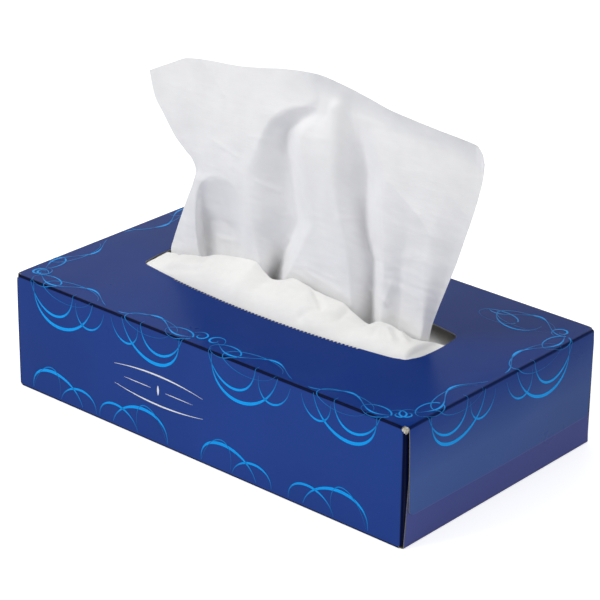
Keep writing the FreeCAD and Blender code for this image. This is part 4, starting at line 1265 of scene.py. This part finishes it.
def relief(x, z, depth):
    """How far each point of the upright plane is moved away from the eye by the sheet's folds."""
    places = np.array([flowing(*np.array(line, float).T[[0, 1]], z) for line in FOLD_LINES])
    depths = np.array([flowing(*np.array(line, float).T[[0, 2]], z) for line in FOLD_LINES])
    moved = np.where(x <= places[0], depths[0], depths[-1])
    for low, high, near, far in zip(places, places[1:], depths, depths[1:]):
        t = np.clip((x - low) / np.maximum(high - low, 0.5), 0, 1)
        eased = 0.3 * t + 0.7 * t * t * (3 - 2 * t)
        moved = np.where((x > low) & (x <= high), near + (far - near) * eased, moved)
    moved = moved + arch_hollow(x, z)
    for start, end, height, width in CREASES:
        away = to_segment(x, z, start, end)
        moved = moved + CREASE_DEPTH * height * np.clip(1 - away / (CREASE_WIDTH * width), 0, 1) ** 1.5
    hem_x, hem_z = np.array(HEM).T
    below = np.interp(x, hem_x, hem_z) - z
    curl = np.clip(1 - below / CURL_BAND, 0, 1) ** 2 * smooth(CURL_FROM, CURL_FULL, x)
    slant = SLANT_LEFT + (SLANT_RIGHT - SLANT_LEFT) * (x - SLANT_FROM) / SLANT_RUN
    return slant + moved * depth + CURL_DEPTH * curl


def noise_at(x, y, octaves):
    """Smooth noise over a grid, each octave as its two scales, its place in the noise and its weight."""
    def value(a, b):
        return sum(weight * noise.noise(Vector((a * wide, b * high, seat)))
                   for wide, high, seat, weight in octaves)

    return np.array([value(a, b) for a, b in zip(x.ravel(), y.ravel())]).reshape(x.shape)


def wrinkles(x, z, height):
    """Small wrinkles, mostly across the sheet, stronger low down where it was pulled through the opening."""
    values = noise_at(x, z, ((0.05, 0.16, 0.3, 1.0), (0.11, 0.45, 7.1, 0.6), (0.16, 0.12, 3.7, 0.5)))
    return values * height * (0.55 + 0.9 * smooth(130, 70, z))


def stand_up(x, z, away):
    """Points of the upright plane moved away from the eye, along the lines of sight."""
    eye = np.array(EYE)
    plane = np.stack([x, np.zeros_like(x), z], axis=-1)
    sight = plane - eye
    return plane + sight * (away / -eye[1])[..., None]


def sheet_plane(columns, rows):
    """The pulled-up sheet laid out on the upright plane: x and z of every grid point."""
    across, up = np.linspace(0, 1, columns + 1), np.linspace(0, 1, rows + 1)
    left, right, hem = (np.array(edge, float) for edge in (LEFT_EDGE, RIGHT_EDGE, HEM))
    left_share = (left[:, 1] - BASE_LEVEL) / (left[-1, 1] - BASE_LEVEL)
    right_share = (right[:, 1] - BASE_LEVEL) / (right[-1, 1] - BASE_LEVEL)
    left_x, right_x = flowing(left_share, left[:, 0], up), flowing(right_share, right[:, 0], up)
    run = np.concatenate([[0], np.cumsum(np.hypot(*np.diff(hem, axis=0).T))])
    hem_x, hem_z = (flowing(run / run[-1], hem[:, i], across) for i in (0, 1))
    straight = left_x[-1] + (right_x[-1] - left_x[-1]) * across
    x = left_x[:, None] * (1 - across) + right_x[:, None] * across + (hem_x - straight) * up[:, None] ** 4
    z = BASE_LEVEL + (hem_z - BASE_LEVEL) * up[:, None]
    return x, z


def thin_sheet(name, points, thickness, material):
    """A grid of points as a sheet with a little thickness, closed round its edge."""
    rows, columns = points.shape[:2]
    along = np.gradient(points, axis=1)
    up = np.gradient(points, axis=0)
    normal = np.cross(along, up)
    normal /= np.linalg.norm(normal, axis=2, keepdims=True)
    half = normal * thickness / MM / 2
    both = np.concatenate([(points + half).reshape(-1, 3), (points - half).reshape(-1, 3)])
    count = rows * columns
    index = np.arange(count).reshape(rows, columns)
    a, b, c, d = index[:-1, :-1], index[:-1, 1:], index[1:, 1:], index[1:, :-1]
    front = np.stack([a, b, c, d], axis=-1).reshape(-1, 4)
    back = np.stack([a, d, c, b], axis=-1).reshape(-1, 4) + count
    border = list(index[0]) + list(index[1:, -1]) + list(index[-1, -2::-1]) + list(index[-2:0:-1, 0])
    rim = [[q, p, p + count, q + count] for p, q in zip(border, border[1:] + border[:1])]
    faces = front.tolist() + back.tolist() + [[int(i) for i in f] for f in rim]
    piece = new_piece(name, both, faces, [material])
    shade(piece.data, 60)
    return piece


def tissue_paper(name, colour, crepe):
    """Soft two-ply paper: matt and faintly crinkled across, with a faint sheen."""
    shader = Shader(name, 0.92, 0.15)
    lines = shader.noise(900.0, 3.0, 0.6, shader.stretched((0.35, 0.35, 2.4)), 0.6)
    cloud = shader.noise(60.0, 4.0, 0.55)
    pale = tuple(min(1.0, c * 1.025) for c in colour)
    dull = tuple(c * 0.97 for c in colour)
    shader.colour(shader.mixed(shader.ranged(cloud, 0.35, 0.65), dull, pale))
    shader.surface.inputs["Sheen Weight"].default_value = 0.15
    shader.surface.inputs["Sheen Roughness"].default_value = 0.6
    shader.bump(lines, 0.35 * crepe, 0.0002)
    shader.bump(shader.noise(170.0, 3.0, 0.6, shader.stretched((0.5, 0.5, 1.6))), 0.3 * crepe, 0.0004)
    return shader.material


class TISSUEBOX_OT_pull_tissue(bpy.types.Operator):
    """Stand the pulled-up tissue in the opening, with its folds, creases and curled hem"""
    bl_idname = "tissuebox.pull_tissue"
    bl_label = "Pull Tissue"

    def execute(self, context):
        settings = context.scene.tissuebox_tissue
        x, z = sheet_plane(settings.columns, settings.rows)
        away = relief(x, z, settings.relief) + wrinkles(x, z, settings.wrinkle / MM)
        points = stand_up(x, z, away)
        paper = tissue_paper("standing_tissue", settings.paper, 1.0)
        sheet = thin_sheet("pulled_sheet", points, settings.thickness, paper)
        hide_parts("pulled_tissue")
        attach(sheet, "root")
        return {"FINISHED"}


def front_edge(x):
    """y of the opening's front edge at this x, run on level past its ends."""
    offset = np.clip(x - OPENING_SHIFT, -OPENING_HALF_LENGTH, OPENING_HALF_LENGTH)
    long_edge = (LONG_RADIUS - OPENING_HALF_WIDTH) - np.sqrt(LONG_RADIUS ** 2 - offset ** 2)
    centre = OPENING_HALF_LENGTH - END_RADIUS
    end_edge = -np.sqrt(np.maximum(END_RADIUS ** 2 - (np.abs(offset) - centre) ** 2, 0.0))
    return np.maximum(long_edge, end_edge)


def next_grid():
    """The next tissue as a grid: tucked under the front lip, over its puff to the crest and down behind."""
    crest_x, crest_z = np.array(CREST).T
    across = np.linspace(0, 1, NEXT_COLUMNS)
    plane_x = crest_x[0] + (crest_x[-1] - crest_x[0]) * across
    plane_z = flowing(crest_x, crest_z, plane_x)
    place = flowing(*np.array(CREST_PLACE).T, plane_x)
    crest = stand_up(plane_x, plane_z, place)
    level = np.full(NEXT_COLUMNS, HEIGHT - LIP_DEPTH)
    lip = np.stack([crest[:, 0], front_edge(crest[:, 0]) + LIP_GAP, level], axis=1)
    room = np.maximum(crest[:, 1] - lip[:, 1], 0.0)
    ends = smooth(0.0, 0.07, across) * smooth(1.0, 0.93, across)
    rows = []
    for back in np.linspace(0, 1, NEXT_ROWS):
        point = lip + (crest - lip) * back
        point[:, 2] = lip[:, 2] + (crest[:, 2] - lip[:, 2]) * back ** 0.8
        point[:, 2] += ends * np.minimum(room * PUFF_SHARE, PUFF_MOST) * np.sin(math.pi * back ** 0.62)
        for start, end, lift, width in SWELLS:
            away = to_segment(point[:, 0], point[:, 1], start, end)
            point[:, 2] += ends * lift * np.exp(-(away / width) ** 2) * smooth(0.0, 0.15, back)
        rows.append(point)
    under = [rows[0] + np.array([0.0, -inset, -fall]) for inset, fall in TUCK_FRONT]
    behind = [stand_up(plane_x, plane_z - fall * TUCK_DEPTH, place + 0.4 * fall)
              for fall in np.linspace(0.08, 1, TUCK_ROWS)]
    points = np.array(under + rows + behind)
    fine = np.array([[noise.noise(Vector(p) * 0.12) + 0.5 * noise.noise(Vector(p) * 0.35) for p in row]
                     for row in points])
    puff = slice(len(under) + 1, -len(behind) - 1)
    points[puff, :, 2] += 0.3 * fine[puff]
    return points


class TISSUEBOX_OT_swell_next(bpy.types.Operator):
    """Swell the next tissue up into the opening in front of the pulled-up one"""
    bl_idname = "tissuebox.swell_next"
    bl_label = "Swell Next Tissue"

    def execute(self, context):
        settings = context.scene.tissuebox_tissue
        points = next_grid()
        # Painted light: the next tissue gets the brighter, warmer white of the tissues inside.
        paper = tissue_paper("next_tissue_paper", settings.inner_lit_paper, 0.7)
        sheet = thin_sheet("next_sheet", points, settings.thickness, paper)
        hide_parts("next_tissue")
        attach(sheet, "root")
        return {"FINISHED"}


def layer_tree(material):
    """A node tree that stacks one folded layer many times, each a little out of line."""
    tree, names = new_tree("layer_pile", {
        "Layers": "NodeSocketInt", "Rise": "NodeSocketFloat", "Shift": "NodeSocketFloat",
        "Seed": "NodeSocketInt"})
    nodes = add_nodes(tree, {
        "inputs": "NodeGroupInput", "step": "ShaderNodeCombineXYZ", "line": "GeometryNodeMeshLine",
        "spread": "ShaderNodeCombineXYZ", "negative": "ShaderNodeVectorMath",
        "jitter": "FunctionNodeRandomValue", "move": "GeometryNodeSetPosition",
        "place": "GeometryNodeInstanceOnPoints", "realize": "GeometryNodeRealizeInstances",
        "paint": "GeometryNodeSetMaterial", "outputs": "NodeGroupOutput",
    })
    nodes["jitter"].data_type = "FLOAT_VECTOR"
    nodes["negative"].operation = "SCALE"
    nodes["negative"].inputs["Scale"].default_value = -1.0
    nodes["paint"].inputs["Material"].default_value = material
    wire(tree, nodes, (
        ("inputs", "Layers", "line", "Count"),
        ("inputs", "Rise", "step", "Z"),
        ("step", 0, "line", "Offset"),
        ("inputs", "Shift", "spread", "X"),
        ("inputs", "Shift", "spread", "Y"),
        ("spread", 0, "negative", 0),
        ("negative", 0, "jitter", 0),
        ("spread", 0, "jitter", 1),
        ("inputs", "Seed", "jitter", "Seed"),
        ("line", "Mesh", "move", "Geometry"),
        ("jitter", 0, "move", "Offset"),
        ("move", "Geometry", "place", "Points"),
        ("inputs", "Geometry", "place", "Instance"),
        ("place", "Instances", "realize", "Geometry"),
        ("realize", "Geometry", "paint", "Geometry"),
        ("paint", "Geometry", "outputs", "Geometry"),
    ))
    return tree, names


def folded_layer(low, high, rise):
    """One folded layer of the pile: a flat slab whose long sides are rounded folds and whose ends are cut."""
    section = []
    for sign in (1, -1):
        y = (high.y if sign > 0 else low.y) - sign * rise / 2
        for step in range(LAYER_FOLD_POINTS):
            a = -math.pi / 2 + math.pi * step / (LAYER_FOLD_POINTS - 1)
            height = rise / 2 + sign * rise / 2 * math.sin(a) * LAYER_CLEARANCE
            section.append((y + sign * rise / 2 * math.cos(a), height))
    stations = np.linspace(low.x, high.x, LAYER_STATIONS)
    points = [(x, y, low.z + z) for x in stations for y, z in section]
    n = len(section)
    faces = []
    for i in range(len(stations) - 1):
        for j in range(n):
            k = (j + 1) % n
            faces.append([i * n + j, i * n + k, (i + 1) * n + k, (i + 1) * n + j])
    faces += [list(range(n))[::-1], [(len(stations) - 1) * n + j for j in range(n)]]
    return points, faces


class TISSUEBOX_OT_lay_pile(bpy.types.Operator):
    """Lay the pile of folded tissues in the carton, with a rumpled sheet on top"""
    bl_idname = "tissuebox.lay_pile"
    bl_label = "Lay Pile"

    def execute(self, context):
        settings, tissue = context.scene.tissuebox_pile, context.scene.tissuebox_tissue
        low, high = (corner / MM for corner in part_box("tissue_stack"))
        rise = (PILE_SHOULDER - low.z) / settings.layers
        margin = Vector((PILE_MARGIN, PILE_MARGIN, 0.0))
        points, faces = folded_layer(low + margin, high - margin, rise)
        # Painted light: the pile gets the brighter, warmer white of the tissues inside.
        material = tissue_paper("pile_paper", tissue.inner_lit_paper, 0.6)
        layer = new_piece("pile_layer", points, faces, [material])
        mesh = grow(layer, *layer_tree(material), {
            "Layers": settings.layers, "Rise": rise * MM, "Shift": LAYER_SHIFT * MM, "Seed": settings.seed})
        if len(mesh.polygons) < settings.layers * len(faces):
            raise RuntimeError("the pile lacks layers")
        pile = bpy.data.objects.new("tissue_pile", mesh)
        context.scene.collection.objects.link(pile)
        shade(mesh, 50)
        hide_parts("tissue_stack")
        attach(pile, "root")
        self.cover(pile, low, high, material)
        return {"FINISHED"}

    def cover(self, pile, low, high, material):
        """The rumpled top of the pile, joined to its layers."""
        xs = np.linspace(low.x + COVER_MARGIN, high.x - COVER_MARGIN, COVER_COLUMNS)
        ys = np.linspace(low.y + COVER_MARGIN, high.y - COVER_MARGIN, COVER_ROWS)
        x, y = np.meshgrid(xs, ys)
        crown = (high.z - PILE_SHOULDER - CROWN_ROOM) * np.clip(1 - (y / high.y) ** 2, 0, 1) ** 0.7
        crown *= np.clip(1 - np.abs((x - (low.x + high.x) / 2) / ((high.x - low.x) / 2)) ** 6, 0, 1)
        rough = noise_at(x, y, ((0.03, 0.08, 1.0, 1.0), (0.1, 0.2, 5.0, 0.5)))
        top = PILE_SHOULDER + COVER_LIFT + crown + 0.5 * rough * np.clip(crown, 0, 1)
        cover = thin_sheet("top_sheet", np.stack([x, y, top], axis=-1), COVER_THICKNESS, material)
        pieces = [pile, cover]
        with bpy.context.temp_override(active_object=pile, selected_editable_objects=pieces, object=pile):
            bpy.ops.object.join()


# The studio.

class TISSUEBOX_OT_light_studio(bpy.types.Operator):
    """Set up the white floor, the soft lights and the camera"""
    bl_idname = "tissuebox.light_studio"
    bl_label = "Light Studio"

    def execute(self, context):
        settings = context.scene.tissuebox_studio
        self.lay_floor(settings)
        self.hang_lights(settings)
        self.set_world(context, settings)
        self.place_camera(context, settings)
        context.scene.view_settings.view_transform = "Standard"
        return {"FINISHED"}

    def lay_floor(self, settings):
        span = np.linspace(-FLOOR_SIZE / 2, FLOOR_SIZE / 2, FLOOR_SQUARES + 1)
        points = [(x, y, FLOOR_LEVEL) for y in span for x in span]
        squares = range(FLOOR_SQUARES)
        corners = [row * len(span) + column for row in squares for column in squares]
        faces = [[c, c + 1, c + 1 + len(span), c + len(span)] for c in corners]
        shader = Shader("studio_floor", 0.9, 0.1)
        grain = shader.ranged(shader.noise(3.0, 2.0), 0.3, 0.7)
        shader.colour(shader.mixed(grain, tuple(c * 0.99 for c in settings.floor), settings.floor))
        rays = shader.nodes.new("ShaderNodeLightPath")
        looked_at = shader.math("MAXIMUM", rays.outputs["Is Camera Ray"], rays.outputs["Is Glossy Ray"])
        seen = shader.math("MULTIPLY", looked_at, settings.floor_glow)
        shader.surface.inputs["Emission Color"].default_value = (1.0, 1.0, 1.0, 1.0)
        shader.link(seen, shader.surface.inputs["Emission Strength"])
        floor = new_piece("studio_floor", points, faces, [shader.material])

    def hang_lights(self, settings):
        for name, (place, size, power) in LIGHTS.items():
            data = bpy.data.lights.new(name, "AREA")
            data.energy = getattr(settings, power)
            data.size = size
            lamp = bpy.data.objects.new(name, data)
            lamp.location = place
            lamp.rotation_mode = "QUATERNION"
            lamp.rotation_quaternion = (Vector(LIGHT_TARGET) - Vector(place)).to_track_quat("-Z", "Y")
            bpy.context.scene.collection.objects.link(lamp)

    def set_world(self, context, settings):
        world = bpy.data.worlds.new("white_room")
        context.scene.world = world
        world.use_nodes = True
        nodes, links = world.node_tree.nodes, world.node_tree.links
        room, shown = nodes["Background"], nodes.new("ShaderNodeBackground")
        rays, mix = nodes.new("ShaderNodeLightPath"), nodes.new("ShaderNodeMixShader")
        direct, either = nodes.new("ShaderNodeMath"), nodes.new("ShaderNodeMath")
        for node in (direct, either):
            node.operation = "MAXIMUM"
        for node, strength in ((room, settings.ambient), (shown, 1.0)):
            node.inputs["Color"].default_value = (1.0, 1.0, 1.0, 1.0)
            node.inputs["Strength"].default_value = strength
        for source, target in (
            (rays.outputs["Is Camera Ray"], direct.inputs[0]),
            (rays.outputs["Is Glossy Ray"], direct.inputs[1]),
            (direct.outputs[0], either.inputs[0]),
            (rays.outputs["Is Transmission Ray"], either.inputs[1]),
            (either.outputs[0], mix.inputs[0]),
            (room.outputs[0], mix.inputs[1]),
            (shown.outputs[0], mix.inputs[2]),
            (mix.outputs[0], nodes["World Output"].inputs["Surface"]),
        ):
            links.new(source, target)

    def place_camera(self, context, settings):
        azimuth, elevation, roll = (math.radians(v) for v in (CAMERA_AZIMUTH, CAMERA_ELEVATION, CAMERA_ROLL))
        flat = math.cos(elevation)
        back = Vector((math.sin(azimuth) * flat, -math.cos(azimuth) * flat, math.sin(elevation)))
        level = (-back).cross(Vector((0, 0, 1))).normalized()
        upright = level.cross(-back)
        right = level * math.cos(roll) + upright * math.sin(roll)
        up = upright * math.cos(roll) - level * math.sin(roll)
        data = bpy.data.cameras.new("camera")
        data.lens = settings.lens
        data.sensor_width = SENSOR_WIDTH
        data.clip_start = CLIP_START
        camera = bpy.data.objects.new("camera", data)
        turn = Matrix((right, up, back)).transposed().to_4x4()
        camera.matrix_world = Matrix.Translation(Vector(EYE) * MM) @ turn
        context.scene.collection.objects.link(camera)
        context.scene.camera = camera


OPERATORS = (
    TISSUEBOX_OT_fold_carton, TISSUEBOX_OT_print_lines, TISSUEBOX_OT_lay_pile, TISSUEBOX_OT_swell_next,
    TISSUEBOX_OT_pull_tissue, TISSUEBOX_OT_light_studio,
)
GROUPS = {
    "tissuebox_carton": CartonSettings, "tissuebox_print": PrintSettings, "tissuebox_tissue": TissueSettings,
    "tissuebox_pile": PileSettings, "tissuebox_studio": StudioSettings,
}


class TISSUEBOX_PT_sidebar(bpy.types.Panel):
    """Buttons and settings for the tissue box"""
    bl_idname = "TISSUEBOX_PT_sidebar"
    bl_label = "Tissue Box"
    bl_space_type = "VIEW_3D"
    bl_region_type = "UI"
    bl_category = "Tissue Box"

    def draw(self, context):
        for operator in OPERATORS:
            self.layout.operator(operator.bl_idname)
        for name, group in GROUPS.items():
            box = self.layout.box()
            for prop in group.bl_rna.properties:
                if prop.identifier not in ("rna_type", "name"):
                    box.prop(getattr(context.scene, name), prop.identifier)


def register():
    for group in GROUPS.values():
        bpy.utils.register_class(group)
    for name, group in GROUPS.items():
        setattr(bpy.types.Scene, name, PointerProperty(type=group))
    for operator in OPERATORS:
        bpy.utils.register_class(operator)
    bpy.utils.register_class(TISSUEBOX_PT_sidebar)


def unregister():
    bpy.utils.unregister_class(TISSUEBOX_PT_sidebar)
    for operator in reversed(OPERATORS):
        bpy.utils.unregister_class(operator)
    for name in GROUPS:
        delattr(bpy.types.Scene, name)
    for group in reversed(GROUPS.values()):
        bpy.utils.unregister_class(group)


def main():
    register()
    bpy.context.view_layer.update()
    bpy.ops.tissuebox.light_studio()
    bpy.ops.tissuebox.fold_carton()
    bpy.ops.tissuebox.print_lines()
    bpy.ops.tissuebox.lay_pile()
    bpy.ops.tissuebox.pull_tissue()
    bpy.ops.tissuebox.swell_next()


if __name__ == "__main__":
    main()
